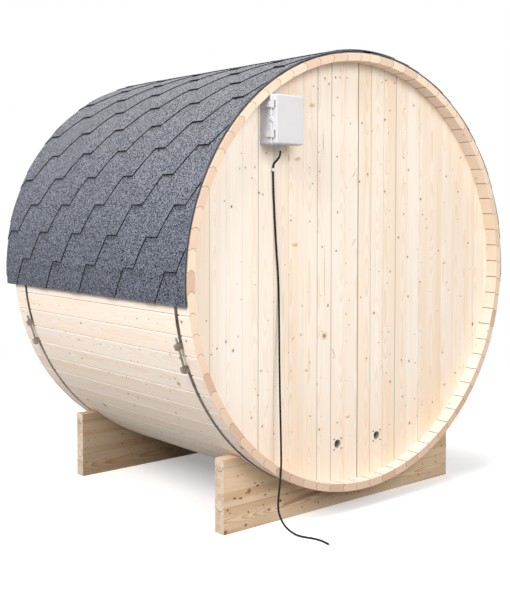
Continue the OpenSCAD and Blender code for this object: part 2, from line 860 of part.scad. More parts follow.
module box_hinge_pin() {
    color(steel)
        translate([hinge_x, hinge_y, box_mid_z])
            cylinder(d = pin_d, h = pin_l, center = true);
}

// Outline of the cover in a plane through its depth, with its face bevelled
module cover_outline(width, depth) {
    polygon([
        [-width / 2, 0], [width / 2, 0],
        [width / 2, depth - cover_bevel], [width / 2 - cover_bevel, depth],
        [-width / 2 + cover_bevel, depth], [-width / 2, depth - cover_bevel]
    ]);
}

// Shallow cover that swings on the knuckle at its right side
module box_cover() {
    depth = cover_d - cover_gap;
    edge_y = mouth_y - cover_gap;
    hollow_w = cover_w - 2 * box_wall;
    hollow_h = cover_h - 2 * box_wall;
    color(pale_plastic)
        difference() {
            union() {
                intersection() {
                    translate([box_x, edge_y, box_mid_z])
                        linear_extrude(height = cover_h, center = true)
                            mirror([0, 1]) cover_outline(cover_w, depth);
                    translate([box_x, edge_y, box_mid_z])
                        rotate([0, 90, 0])
                            linear_extrude(height = cover_w, center = true)
                                mirror([0, 1]) cover_outline(cover_h, depth);
                    box_block(cover_w, cover_h, edge_y - depth, edge_y, cover_round);
                }
                knuckle(box_mid_z, cover_right_x - cut, edge_y - flange_d);
            }
            box_block(hollow_w, hollow_h, edge_y - depth + box_wall, edge_y + cut, cover_round - box_wall);
            for (z = latch_heights())
                translate([cover_left_x - cut, edge_y - latch_block - latch_slot, z - latch_h / 2])
                    cube([box_wall + 2 * cut, latch_slot, latch_h]);
            hinge_bore();
        }
}

// Heights of the middles of the two latches
function latch_heights() = [for (side = [-1, 1]) box_mid_z + side * latch_spacing / 2];

// Two latches on the left side of the cover, whose levers reach back over the flange
module box_latches() {
    latch_x = box_left_x - latch_t;
    front_y = mouth_y - cover_gap - latch_block;
    color(pale_plastic)
        for (z = latch_heights()) {
            translate([latch_x, front_y, z - latch_h / 2])
                cube([latch_t + cover_inset, latch_block, latch_h]);
            translate([latch_x, front_y, z - lever_h / 2])
                cube([latch_t - cover_gap, latch_block + cover_gap + latch_reach, lever_h]);
        }
}

// Gland under the box: a hexagon, a round nut and a taper that ends at the cord
module cable_gland() {
    translate([box_x + gland_x, box_back_y - gland_y, gland_z])
        color(pale_plastic) {
            cylinder(d1 = cord_d + 2 * box_wall, d2 = gland_nut_d, h = gland_taper_l);
            translate([0, 0, gland_taper_l]) cylinder(d = gland_nut_d, h = gland_l - gland_taper_l);
            translate([0, 0, gland_l - gland_hex_l]) cylinder(d = gland_d, h = gland_hex_l, $fn = 6);
        }
}

// Clip on the wall that the cord passes through
module cord_clip() {
    clip_y = cord_d / 2 + clip_back;
    depth = clip_y + cord_d / 2 + clip_back;
    color(pale_plastic)
        translate([clip_x, box_back_y, clip_z])
            difference() {
                translate([-clip_w / 2, -depth, 0]) cube([clip_w, depth, clip_h]);
                translate([0, -clip_y, -cut]) cylinder(d = cord_d + 2 * clip_clear, h = clip_h + 2 * cut);
            }
}

// Direction of the cord at one of its route points
function route_dir(i) =
    let (d = cord_route[min(i + 1, len(cord_route) - 1)] - cord_route[max(i - 1, 0)])
    d / norm(d);

// Point on the smooth curve between route points i and i + 1
function curve_point(i, t) =
    let (a = cord_route[i], b = cord_route[i + 1], l = norm(b - a))
    a * (2 * t * t * t - 3 * t * t + 1) + route_dir(i) * l * (t * t * t - 2 * t * t + t)
    + b * (3 * t * t - 2 * t * t * t) + route_dir(i + 1) * l * (t * t * t - t * t);

cord_points = concat(
    [for (i = [0 : len(cord_route) - 2])
        let (steps = max(1, round(norm(cord_route[i + 1] - cord_route[i]) / cord_step)))
        for (s = [0 : steps - 1]) curve_point(i, s / steps)],
    [cord_route[len(cord_route) - 1]]
);

// Ring of the cord's tube round point i, held square to the cord
function cord_ring(i) =
    let (
        last = len(cord_points) - 1,
        d = cord_points[min(i + 1, last)] - cord_points[max(i - 1, 0)],
        t = d / norm(d),
        side = cross(t, [1, 0, 0]) / norm(cross(t, [1, 0, 0])),
        up = cross(side, t)
    )
    [for (k = [0 : cord_sides - 1])
        cord_points[i] + cord_d / 2 * (cos(360 * k / cord_sides) * up + sin(360 * k / cord_sides) * side)];

module supply_cord() {
    rings = len(cord_points);
    tube = [for (i = [0 : rings - 1]) each cord_ring(i)];
    walls = [for (i = [0 : rings - 2]) for (k = [0 : cord_sides - 1])
        let (n = (k + 1) % cord_sides, a = i * cord_sides, b = a + cord_sides)
        [a + k, a + n, b + n, b + k]];
    ends = [
        [for (k = [cord_sides - 1 : -1 : 0]) k],
        [for (k = [0 : cord_sides - 1]) (rings - 1) * cord_sides + k]
    ];
    color(black) polyhedron(points = tube, faces = concat(walls, ends), convexity = 10);
}

upper_right_staves();
right_staves();
lower_right_staves();
bottom_right_staves();
bottom_left_staves();
lower_left_staves();
left_staves();
upper_left_staves();
closing_staves();
back_wall();
vent_screens();
front_wall_left();
front_wall_right();
front_wall_over_door();
front_wall_under_door();
door_frame();
door_boards();
door_ledges();
door_hinges();
door_handle();
back_cradle();
front_cradle();
back_band();
front_band();
back_band_lugs();
front_band_lugs();
back_band_bolt();
front_band_bolt();
roof_felt();
left_shingles();
right_shingles();
ridge_shingles();
box_base();
box_padlock_eye();
box_hinge_pin();
box_cover();
cover_padlock_eye();
box_latches();
cable_gland();
cord_clip();
supply_cord();
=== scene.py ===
# %% [markdown]
# # Barrel sauna
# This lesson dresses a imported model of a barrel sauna. The model's solids are already in place, in
# metres, with +Z up and the barrel lying along Y. The script gives every solid a finish, adds the
# small pieces that are too fine for the solids, and sets up the floor, the light and the camera.

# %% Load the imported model
from functools import partialmethod
from math import radians, pi
from types import SimpleNamespace

import bpy
import numpy as np
from mathutils import Euler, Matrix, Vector


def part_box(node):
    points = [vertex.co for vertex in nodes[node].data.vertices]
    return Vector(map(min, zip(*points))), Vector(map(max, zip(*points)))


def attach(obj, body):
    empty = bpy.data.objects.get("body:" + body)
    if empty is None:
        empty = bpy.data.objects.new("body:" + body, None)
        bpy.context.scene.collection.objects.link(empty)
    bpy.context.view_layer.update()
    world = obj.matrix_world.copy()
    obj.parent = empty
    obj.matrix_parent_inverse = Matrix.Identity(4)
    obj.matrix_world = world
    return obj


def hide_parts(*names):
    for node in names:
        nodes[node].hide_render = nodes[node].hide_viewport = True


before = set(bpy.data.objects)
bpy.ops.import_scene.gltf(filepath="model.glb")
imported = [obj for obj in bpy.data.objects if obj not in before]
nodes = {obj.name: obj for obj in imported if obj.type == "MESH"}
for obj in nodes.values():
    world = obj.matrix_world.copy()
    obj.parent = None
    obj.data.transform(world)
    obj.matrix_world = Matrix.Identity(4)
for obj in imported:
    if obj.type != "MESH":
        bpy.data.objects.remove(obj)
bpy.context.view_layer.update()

# %% [markdown]
# ## Camera
# The picture was taken at chest height from the left of the back end. The place, the turn and the
# focal length could be tried out by hand, but here they come from a fit to the ellipses of the barrel's
# two ends and the corners of its cradles. The fit also puts the object off the middle of the lens, and
# the small shift says by how much.

# %% Camera
EYE = (-2.9102, -3.5783, 1.2800)
AZIMUTH, DOWN, ROLL = -41.558, 2.415, 0.148
camera = bpy.data.objects.new("camera", bpy.data.cameras.new("camera"))
bpy.context.scene.collection.objects.link(camera)
camera.location = EYE
camera.rotation_euler = Euler((radians(90 - DOWN), radians(-ROLL), radians(AZIMUTH)), "XYZ")
camera.data.sensor_width = 36.0
camera.data.lens = 58.276
camera.data.shift_x, camera.data.shift_y = -0.0782, -0.0878
bpy.context.scene.camera = camera
print("camera at", EYE, "lens", camera.data.lens)

# %% [markdown]
# ## Meshes from grids
# The small pieces could be bent from Blender's own cylinders, but points that are worked out come out
# the same each time. A surface is a grid of points: rows along one parameter, columns along the other.
# The faces follow from the row and column numbers alone, so one helper serves every piece. A tube or a
# turned piece wraps its last column round to its first, and a flat face closes each open end.


# %% Grid helper
def grid_faces(rows, columns, first=0):
    """Quads of a wrapped grid: quad (i, j) joins rows i and i + 1, columns j and j + 1, and the
    last column meets the first. A many-sided face closes each end. first is the first point's number."""
    i, j = np.meshgrid(np.arange(rows - 1), np.arange(columns), indexing="ij")
    k = (j + 1) % columns
    quads = np.stack([i * columns + j, i * columns + k, (i + 1) * columns + k, (i + 1) * columns + j], -1)
    start = np.arange(columns)[::-1]
    end = np.arange(columns) + (rows - 1) * columns
    return [(f + first).tolist() for f in (*quads.reshape(-1, 4), start, end)]


def make_piece(name, points, faces):
    """Mesh of the given points and faces, smooth, at the origin, riding on the sauna."""
    mesh = bpy.data.meshes.new(name)
    mesh.from_pydata(np.asarray(points, float).reshape(-1, 3).tolist(), [], faces)
    mesh.validate()
    mesh.shade_smooth()
    piece = bpy.data.objects.new(name, mesh)
    bpy.context.scene.collection.objects.link(piece)
    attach(piece, "sauna")
    print(name, len(mesh.vertices), "points", len(mesh.polygons), "faces")
    return piece


print("a tube of 3 rings of 4 points has", len(grid_faces(3, 4)), "faces")

# %% [markdown]
# ## Supply cord
# A black cord leaves the gland under the electrical box, bends to the wall, runs down it through a
# clip, hangs over the rim and lies on the ground, where its stripped end shows two pale wires. It
# could be a curve with a bevel, but a tube worked out from its route gives the same mesh everywhere.
# The route repeats the points of the solid cord, and each ring of the tube stands square to it.

# %% Cord route
CORD_D = 0.008
CORD_ROUTE = np.array([
    (-456, -682, 1496.5), (-456, -682, 1488.5), (-457.8, -678.6, 1472), (-463, -669, 1459),
    (-468.2, -659.4, 1446), (-470, -656, 1429.5), (-470, -656, 1412), (-470, -656, 1390),
    (-466, -656, 1300), (-454, -656, 1125), (-444, -656, 1010), (-442, -658, 930), (-461, -687, 590),
    (-475, -713, 310), (-479, -717, 255), (-484, -717, 200), (-490, -717, 155), (-494, -718, 110),
    (-491, -724, 74), (-481, -746, 35), (-464, -780, 11), (-448, -812, 4.2), (-436, -840, 4.2),
    (-427, -870, 4.2), (-425, -900, 4.2), (-430, -935, 4.2), (-444, -985, 4.2),
]) / 1000
print("cord route:", len(CORD_ROUTE), "points")


# %% Smooth lines and tubes
def smooth_route(points, steps):
    """Hermite curve through the points: between a and b it is a(2t3-3t2+1) + b(3t2-2t3), plus the
    directions at both ends times the distance, weighted by (t3-2t2+t) and (t3-t2)."""
    d = np.vstack([points[1:2] - points[:1], points[2:] - points[:-2], points[-1:] - points[-2:-1]])
    d /= np.linalg.norm(d, axis=1, keepdims=True)
    a, b = points[:-1, None], points[1:, None]
    reach = np.linalg.norm(b - a, axis=2, keepdims=True)
    t = (np.arange(steps) / steps)[None, :, None]
    line = a * (2 * t**3 - 3 * t**2 + 1) + b * (3 * t**2 - 2 * t**3)
    line = line + d[:-1, None] * reach * (t**3 - 2 * t**2 + t) + d[1:, None] * reach * (t**3 - t**2)
    return np.vstack([line.reshape(-1, 3), points[-1:]])


def tube(line, radius, sides):
    """Tube round a line: each point p gives the ring p + r (cos s * up + sin s * side), where side
    and up stand square to the line's direction there."""
    along = np.gradient(line, axis=0)
    along /= np.linalg.norm(along, axis=1, keepdims=True)
    side = np.cross(along, (1.0, 0.0, 0.0))
    side /= np.linalg.norm(side, axis=1, keepdims=True)
    up = np.cross(side, along)
    s = np.linspace(0, 2 * pi, sides, endpoint=False)[None, :, None]
    ring = np.cos(s) * up[:, None] + np.sin(s) * side[:, None]
    return line[:, None] + radius * ring


def line_length(line):
    """Sum of the distances between neighbouring points."""
    return float(np.linalg.norm(np.diff(line, axis=0), axis=1).sum())


print("straight from point to point the route is", round(line_length(CORD_ROUTE), 3), "m long")

# %% Cord sheath
STRIPPED, SIDES, STEPS, SHORTEST = 0.045, 14, 10, 0.001
cord_line = smooth_route(CORD_ROUTE, STEPS)
cord_line[:, 2] = np.maximum(cord_line[:, 2], CORD_D / 2)
run = np.append(0, np.cumsum(np.linalg.norm(np.diff(cord_line, axis=0), axis=1)))
sheath_end = run[-1] - STRIPPED


def along_cord(distance):
    """Points of the cord's line at distances from its exit."""
    return np.stack([np.interp(distance, run, cord_line[:, c]) for c in range(3)], -1)


sheath_line = np.vstack([cord_line[run < sheath_end - SHORTEST], along_cord(sheath_end)])
cord = make_piece("supply_cord_sheath", tube(sheath_line, CORD_D / 2, SIDES),
                  grid_faces(len(sheath_line), SIDES))

# %% Stripped wires
WIRE_D, WIRE_POINTS = 0.0028, 14
IN_SHEATH, CUT_BACK, SINK = 0.004, 0.002, 0.0016
APART_START, APART_END = 0.0017, 0.0036
ACROSS = np.array([[0.95, 0.3, 0.0]])
wire_mid = along_cord(np.linspace(sheath_end - IN_SHEATH, run[-1] - CUT_BACK, WIRE_POINTS))
spread = np.linspace(APART_START, APART_END, WIRE_POINTS)[:, None]
sunk = np.array([[0, 0, -SINK]]) * (spread > APART_START)
wire_points, wire_faces = [], []
for turn, side in enumerate((-1, 1)):
    line = wire_mid + side * spread * ACROSS + sunk
    wire_faces += grid_faces(len(line), SIDES, turn * len(line) * SIDES)
    wire_points.append(tube(line, WIRE_D / 2, SIDES))
wires = make_piece("supply_cord_wires", np.stack(wire_points), wire_faces)
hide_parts("supply_cord")
print("cord length", round(line_length(sheath_line), 3), "m and", STRIPPED, "m stripped")

# %% [markdown]
# ## Finishes
# Every finish is a small net of nodes that reads Object coordinates, so it stays put on its piece. The
# nets could be drawn in the shader editor, but a script can be read and run again. Each method of the
# helper adds one node and returns what comes out of it, and a coat lays a colour over those before it.


# %% Net helper
class Net:
    """Net of nodes that is being wired: each method adds one node and returns its result."""

    def __init__(self, tree):
        self.tree = tree

    def set(self, node, inputs):
        """Links a socket to an input, or writes a number or a colour on it."""
        for key, value in inputs.items():
            if isinstance(value, bpy.types.NodeSocket):
                self.tree.links.new(value, node.inputs[key])
            elif value is not None:
                node.inputs[key].default_value = value

    def add(self, kind, inputs, out=0, **settings):
        node = self.tree.nodes.new("ShaderNode" + kind)
        for key, value in settings.items():
            setattr(node, key, value)
        self.set(node, inputs)
        return node.outputs[out]

    def split(self, vector):
        node = self.tree.nodes.new("ShaderNodeSeparateXYZ")
        self.set(node, {0: vector})
        return node.outputs[0], node.outputs[1], node.outputs[2]

    def join(self, x, y, z):
        return self.add("CombineXYZ", {0: x, 1: y, 2: z})

    def math(self, operation, a, b=None, c=None):
        return self.add("Math", {0: a, 1: b, 2: c}, operation=operation)

    plus, minus = partialmethod(math, "ADD"), partialmethod(math, "SUBTRACT")
    over, line = partialmethod(math, "DIVIDE"), partialmethod(math, "MULTIPLY_ADD")
    above, below = partialmethod(math, "GREATER_THAN"), partialmethod(math, "LESS_THAN")
    least, equals = partialmethod(math, "MINIMUM"), partialmethod(math, "COMPARE")
    floor, fract = partialmethod(math, "FLOOR"), partialmethod(math, "FRACT")
    round, size = partialmethod(math, "ROUND"), partialmethod(math, "ABSOLUTE")

    def times(self, first, *others):
        """Product of all the numbers."""
        for other in others:
            first = self.math("MULTIPLY", first, other)
        return first

    def most(self, first, *others):
        """Largest of all the numbers."""
        for other in others:
            first = self.math("MAXIMUM", first, other)
        return first

    def off(self, value, middle):
        """Distance of a number from a middle."""
        return self.size(self.minus(value, middle))

    def fade(self, value, start, end, low=0.0, high=1.0):
        """Smooth step from low at start to high at end."""
        inputs = {0: value, 1: start, 2: end, 3: low, 4: high}
        return self.add("MapRange", inputs, interpolation_type="SMOOTHSTEP")

    def mix(self, share, a, b):
        """Colour a where share is 0 and colour b where it is 1."""
        return self.add("Mix", {0: share, 6: a, 7: b}, 2, data_type="RGBA")

    def choose(self, share, a, b):
        """Number a where share is 0 and number b where it is 1."""
        return self.add("Mix", {0: share, 2: a, 3: b}, data_type="FLOAT")

    def noise(self, vector, scale, detail=2.0, roughness=0.5):
        inputs = {"Vector": vector, "Scale": scale, "Detail": detail, "Roughness": roughness}
        return self.add("TexNoise", inputs)

    def chance(self, number):
        """Random number from 0 to 1 that belongs to a whole number."""
        return self.add("TexWhiteNoise", {"W": number}, noise_dimensions="1D")

    def length(self, a, b):
        """Square root of the sum of two squares."""
        return self.math("SQRT", self.line(a, a, self.times(b, b)))

    def shown(self):
        """1 on rays from the camera, from reflections and through glass, and else 0."""
        rays = ("Is Camera Ray", "Is Glossy Ray", "Is Transmission Ray")
        return self.most(*(self.add("LightPath", {}, ray) for ray in rays))


# %% Finish helper
class Finish(Net):
    """Material in the making; top is the colour that its coats give so far."""

    def __init__(self, name, roughness=0.6, metallic=0.0, specular=0.4):
        self.material = bpy.data.materials.new(name)
        self.material.use_nodes = True
        super().__init__(self.material.node_tree)
        self.tree.nodes.clear()
        self.shader = self.tree.nodes.new("ShaderNodeBsdfPrincipled")
        output = self.tree.nodes.new("ShaderNodeOutputMaterial")
        self.tree.links.new(self.shader.outputs[0], output.inputs[0])
        self.set(self.shader, {"Roughness": roughness, "Metallic": metallic, "Specular IOR Level": specular})
        coordinates = self.tree.nodes.new("ShaderNodeTexCoord")
        self.place, self.normal = coordinates.outputs["Object"], coordinates.outputs["Normal"]
        self.x, self.y, self.z = self.split(self.place)

    def off_spot(self, x, z, wide=1.0, tall=1.0, lean=0.0):
        """Distance from a spot of the X-Z plane, in which lengths along X and Z count less by wide and
        tall, and what lies above the spot is first moved back by the lean."""
        dz = self.minus(self.z, z)
        dx = self.line(dz, -lean, self.minus(self.x, x))
        return self.length(self.over(dx, wide), self.over(dz, tall))

    def bump(self, height, strength, distance, under=None):
        """Relief of a height from 0 to 1, on top of another relief where there is one."""
        inputs = {"Height": height, "Strength": strength, "Distance": distance, "Normal": under}
        relief = self.add("Bump", inputs)
        self.set(self.shader, {"Normal": relief})
        return relief

    def coat(self, share, colour):
        """Puts a colour over the others, as far as share says."""
        self.top = self.mix(share, self.top, colour)

    def done(self, roughness=None):
        """Puts the top colour on the shader, and the roughness where it changes."""
        self.set(self.shader, {"Base Color": self.top, "Roughness": roughness})
        return self.material


# %% Colours and dressing
def rgb(red, green, blue):
    """Colour of an 8-bit sample as the shader's own linear numbers."""
    c = np.array([red, green, blue]) / 255
    return (*np.where(c <= 0.04045, c / 12.92, ((c + 0.055) / 1.055) ** 2.4).tolist(), 1.0)


def dress(finish, *names):
    """Puts a finish on whole nodes."""
    for name in names:
        nodes[name].data.materials.clear()
        nodes[name].data.materials.append(finish)
    print(finish.name, "on", ", ".join(names))


print("middle grey is", round(rgb(128, 128, 128)[0], 3), "for the shader")

# %% [markdown]
# ## Softwood
# All the timber is raw spruce: nearly white, with yellower growth lines and many small brown knots. A
# stretched noise could stand for the grain, but a board is a slice of a tree and shows where it cuts
# the rings. So each board draws lots for the place of its heart, and the ring at a spot follows from
# the distance to it. The heart line sways along the board, which gives the arches of sawn boards.

# %% Growth rings
RING_W, RUFFLE, HEART_DEEP = 0.0034, 0.0016, 0.05


def growth(f, across, along, seed, width):
    """Darker late wood of the rings: the distance from the heart to the spot, in ring widths, and of
    its fraction only the last part, which ends sharply."""
    beside = f.line(f.chance(f.times(seed, 811.0)), width, -0.5 * width)
    beside = f.minus(f.minus(across, 0.5 * width), beside)
    sway = f.noise(f.join(f.times(seed, 90.0), f.times(along, 1.6), 0.0), 1.0, 1.0)
    below = f.line(f.chance(f.times(seed, 577.0)), HEART_DEEP, 0.004)
    below = f.line(sway, HEART_DEEP, below)
    heart = f.length(beside, below)
    ruffle = f.noise(f.join(f.times(across, 60.0), f.times(along, 9.0), seed), 1.0, 2.0)
    ring = f.fract(f.over(f.line(ruffle, RUFFLE, heart), RING_W))
    return f.times(f.fade(ring, 0.35, 0.9), f.fade(ring, 1.0, 0.93))


print("growth rings are", RING_W * 1000, "mm wide")

# %% [markdown]
# ## Knots and planed wood
# A knot is a branch cut through, a dark disc with a browner ring. Painting each would take days, so
# knots are the points of a cell pattern, of which only a share becomes a knot: many dots, and fewer
# large ones.

# %% Knots
def knots(f, across, along, seed, cell, share, small, large):
    """Masks of the knots: each cell of a plane pattern holds one point, a random number decides
    whether it is a knot and how large, and the mask falls off with the distance from the point."""
    place = f.join(f.line(seed, 7.3, across), f.line(seed, 11.9, along), 0.0)
    cells = f.tree.nodes.new("ShaderNodeTexVoronoi")
    cells.voronoi_dimensions = "2D"
    f.set(cells, {"Vector": place, "Scale": 1 / cell})
    reach = f.times(cells.outputs["Distance"], cell)
    pick, size, dark = f.split(cells.outputs["Color"])
    radius = f.line(f.math("POWER", size, 2.0), large - small, small)
    near = f.over(reach, radius)
    is_knot = f.below(pick, share)
    core = f.times(f.fade(near, 1.0, 0.6), is_knot)
    ring = f.times(f.fade(near, 2.4, 0.8), is_knot)
    return f.times(core, f.fade(dark, -0.8, 0.5)), ring


# %% Planed wood
PALE, GRAIN = rgb(253, 243, 231), rgb(240, 213, 182)
KNOT, KNOT_RING = rgb(98, 68, 48), rgb(206, 160, 118)
KNOT_CELLS, DOT_R, LARGE_DOT_R = (0.058, 0.21), 0.0018, 0.0048
LARGE_KNOT_R = (0.004, 0.011)
DOT_SHARE, LARGE_SHARE = 0.42, 0.30


def wood(f, across, along, seed, width, pale=PALE, grain=GRAIN, contrast=1.0, cells=KNOT_CELLS, dot=DOT_R):
    """Coats of planed softwood, and its relief as the result: a tone per board, late wood and drawn-out
    fibres over it, small dark knots and fewer large brown ones on top."""
    late = growth(f, across, along, seed, width)
    shifted = f.line(seed, 3.7, across)
    fibre = f.noise(f.join(f.times(shifted, 330.0), f.times(along, 7.0), seed), 1.0, 2.0, 0.6)
    broad = f.noise(f.join(f.times(shifted, 24.0), f.line(along, 0.9, seed), seed), 1.0, 2.0)
    lined = f.fade(broad, 0.42, 0.75, 0.0, 0.34 * contrast)
    lined = f.line(late, 0.42 * contrast, lined)
    lined = f.line(f.fade(fibre, 0.45, 0.8), 0.18 * contrast, lined)
    f.top = f.mix(f.line(seed, 0.34 * contrast, lined), pale, grain)
    dark, ring = knots(f, across, along, seed, cells[0], DOT_SHARE, dot, LARGE_DOT_R)
    other_seed = f.plus(seed, 0.37)
    large_dark, large_ring = knots(f, across, along, other_seed, cells[1], LARGE_SHARE, *LARGE_KNOT_R)
    f.coat(f.most(f.times(ring, 0.18), f.times(large_ring, 0.5)), KNOT_RING)
    f.coat(f.most(dark, f.times(large_dark, 0.7)), KNOT)
    sunk = f.most(dark, large_dark)
    return f.line(late, -0.5, f.times(sunk, -1.0))


print("one knot or none in each", KNOT_CELLS, "m of planed wood")

# %% [markdown]
# ## Staves
# The barrel's staves lie side by side round its axis. Each could have a material of its own, but a
# stave's number is simply its angle divided by the angle of one stave, so one finish serves all. Each
# stave's upper edge is a round bead that sits in the hollow of the next, and on the sawn ends that
# round joint shows: there the angle is shifted by the bead's height before it is counted.

# %% Stave sizes
AXIS_Z, BARREL_R, STAVE_T, STAVES = 1.001, 0.915, 0.032, 71
BEAD_R, BEAD_H = 0.0125, 0.009
CLOSING_LEFT, CLOSING_RIGHT = np.degrees(0.054 / BARREL_R), np.degrees(0.063 / BARREL_R)
STAVE_A = (360 - CLOSING_LEFT - CLOSING_RIGHT) / STAVES
STAVE_START = 89.65 - CLOSING_RIGHT
STAVE_W = np.radians(STAVE_A) * BARREL_R
BACK_END, FRONT_END = -0.711, 0.689
SKIN = 0.0004
print("stave width", round(STAVE_W * 1000, 1), "mm")


# %% Place on a stave
def stave_count(f, clockwise):
    """Number of the stave plus the part of its width, from the clockwise angle: the regular staves
    have one width, and the two that close the ring have their own."""
    regular = f.over(clockwise, STAVE_A)
    first = f.over(f.minus(clockwise, 360 - CLOSING_LEFT - CLOSING_RIGHT), CLOSING_LEFT)
    last = f.over(f.minus(clockwise, 360 - CLOSING_RIGHT), CLOSING_RIGHT)
    is_last = f.above(last, 0.0)
    closing = f.choose(is_last, f.plus(first, float(STAVES)), f.plus(last, STAVES + 1.0))
    return f.choose(f.above(first, 0.0), regular, closing)


def bead_height(f, off, radius, high):
    """How far a round bead stands out at a distance from its middle: the square root of radius squared
    less the distance squared, less the part of the radius below the edge, and never under 0."""
    inside = f.most(f.minus(radius**2, f.times(off, off)), 0.0)
    return f.most(f.minus(f.math("SQRT", inside), radius - high), 0.0)


def stave_place(f):
    """Where a spot lies: its height and radius, its stave's number and random seed, how far across the
    stave, from its nearest edge and above its nearest joint, and whether inside or on a sawn end."""
    p = SimpleNamespace()
    p.height = f.minus(f.z, AXIS_Z)
    p.radius = f.length(f.x, p.height)
    p.middle = f.minus(p.radius, BARREL_R - STAVE_T / 2)
    bead = bead_height(f, p.middle, BEAD_R, BEAD_H)
    turn = f.plus(f.math("ARCTAN2", p.height, f.x), f.over(bead, p.radius))
    clockwise = f.minus(STAVE_START, f.math("DEGREES", turn))
    count = stave_count(f, f.math("FLOORED_MODULO", clockwise, 360.0))
    p.number, part = f.floor(count), f.fract(count)
    p.seed = f.chance(f.plus(p.number, 3.0))
    p.across = f.times(part, STAVE_W)
    p.edge = f.times(f.least(part, f.minus(1.0, part)), STAVE_W)
    p.joint = f.round(count)
    p.above = f.times(f.minus(count, p.joint), f.times(f.math("SIGN", f.x), -STAVE_W))
    p.low_down = f.fade(p.height, -0.15, -0.5, 0.4, 1.0)
    p.inner = f.below(p.radius, BARREL_R - STAVE_T + 2 * SKIN)
    p.sawn = f.plus(f.equals(f.y, BACK_END, SKIN), f.equals(f.y, FRONT_END, SKIN))
    return p


print("one stave takes", round(STAVE_A, 3), "degrees")

# %% [markdown]
# ## Stave faces
# On the flank each joint is a thin dark line under a ledge of painted highlight, clearer low down, and
# beside the bands it has a dark tick of painted shade in the gap under the band's edge. The lip inside the
# rim gets painted shade, and the strip beside the roof's edge gets brown painted shade. Each of these is
# a coat over the planed wood, so it can be moved and toned on its own.

# %% Flank, lip and roof edge
BANDS, TICK_BESIDE = (-0.629, 0.582), 0.0105
LEDGE_HIGHLIGHT, JOINT_BROWN, TICK_SHADE = rgb(255, 251, 245), rgb(120, 98, 78), rgb(66, 54, 46)
LIP_SHADE_LOW, LIP_SHADE_HIGH, LIP_JOINT = rgb(206, 180, 176), rgb(211, 187, 160), rgb(104, 80, 62)
EDGE_STRIP, EDGE_SHADE = 0.0065, rgb(212, 180, 150)


def flank_joints(f, p):
    """Painted highlight on the ledges, dark joints, and painted shade as ticks beside the bands."""
    # painted highlight: a pale ledge under each joint, stronger low on the flank
    ledge_highlight = f.times(f.fade(p.above, -0.0065, -0.003), f.fade(p.above, -0.0004, -0.0015))
    f.coat(f.times(ledge_highlight, 0.4, p.low_down), LEDGE_HIGHLIGHT)
    dark = f.fade(f.chance(f.plus(p.joint, 90.0)), 0.0, 1.0, 0.3, 0.7)
    f.coat(f.times(f.fade(f.off(p.above, 0.0006), 0.002, 0.0008), dark), JOINT_BROWN)
    # painted shade: a dark tick in each joint's gap beside the band's edge
    for band in BANDS:
        beside = f.off(f.y, band - TICK_BESIDE)
        tick_shade = f.times(f.fade(p.edge, 0.0045, 0.002), f.fade(beside, 0.0075, 0.004))
        f.coat(f.times(tick_shade, 0.75), TICK_SHADE)


def rim_lip(f, p):
    """Painted shade on the lip inside the rim, its joints, and brown painted shade beside the roof."""
    # painted shade on the lip inside the rim, its tone changing with height
    dull = f.times(p.inner, f.fade(p.height, -0.45, 0.1, 0.3, 0.6), f.fade(p.height, 0.1, 0.75, 1.0, 0.5))
    f.coat(dull, f.mix(f.fade(p.height, -0.5, 0.0), LIP_SHADE_LOW, LIP_SHADE_HIGH))
    f.coat(f.times(p.inner, f.fade(p.edge, 0.0028, 0.0012, 0.0, 0.85)), LIP_JOINT)
    # painted shade: a brown strip on the staves beside the roof's edge
    at_rim = f.below(f.y, BACK_END + EDGE_STRIP)
    outside = f.above(p.radius, BARREL_R - 0.003)
    f.coat(f.times(at_rim, f.fade(p.height, -0.09, -0.08), outside), EDGE_SHADE)


print("dark ticks beside the bands at", BANDS)

# %% [markdown]
# ## Sawn ends and the whole stave
# The sawn ends are darker, some much more than others, and painted shade makes them darker and pinker
# low down. One picture of end grain could be laid on them all, but it would repeat, so each stave has arcs
# of rings round a heart of its own, pores, and a tone by a random number.

# %% Stave finish
END_PALE, END_PINK, END_JOINT = rgb(253, 229, 203), rgb(216, 183, 158), rgb(128, 100, 78)
STAVE_PALE, STAVE_CELLS, STAVE_DOT = rgb(249, 237, 227), (0.06, 0.24), 0.0023
HEART_OUT, HEART_IN = 0.08, 0.06


def sawn_end(f, p):
    """Colour of the sawn ends: rings by the distance from a heart, painted shade low down, and a tone
    per stave.
    """
    aside = f.line(p.seed, HEART_OUT, f.minus(p.across, HEART_OUT))
    inward = f.line(f.chance(f.plus(p.number, 40.0)), HEART_OUT, f.minus(p.middle, HEART_IN))
    rings = f.fract(f.over(f.length(aside, inward), RING_W))
    pores = f.noise(f.place, 520.0, 3.0, 0.7)
    # painted shade: the sawn ends turn darker and pinker low down
    low_shade = f.fade(p.height, 0.1, -0.75, 0.0, 0.5)
    pink = f.fade(f.chance(f.plus(p.number, 17.0)), 0.4, 0.85)
    pink = f.line(pink, f.fade(p.height, 0.35, -0.05, 0.4, 0.75), f.plus(low_shade, 0.1))
    shade = f.line(f.fade(rings, 0.4, 1.0), 0.22, pink)
    shade = f.plus(shade, f.line(pores, 0.5, -0.2))
    return f.mix(f.times(f.fade(p.edge, 0.0016, 0.0006), 0.8), f.mix(shade, END_PALE, END_PINK), END_JOINT)


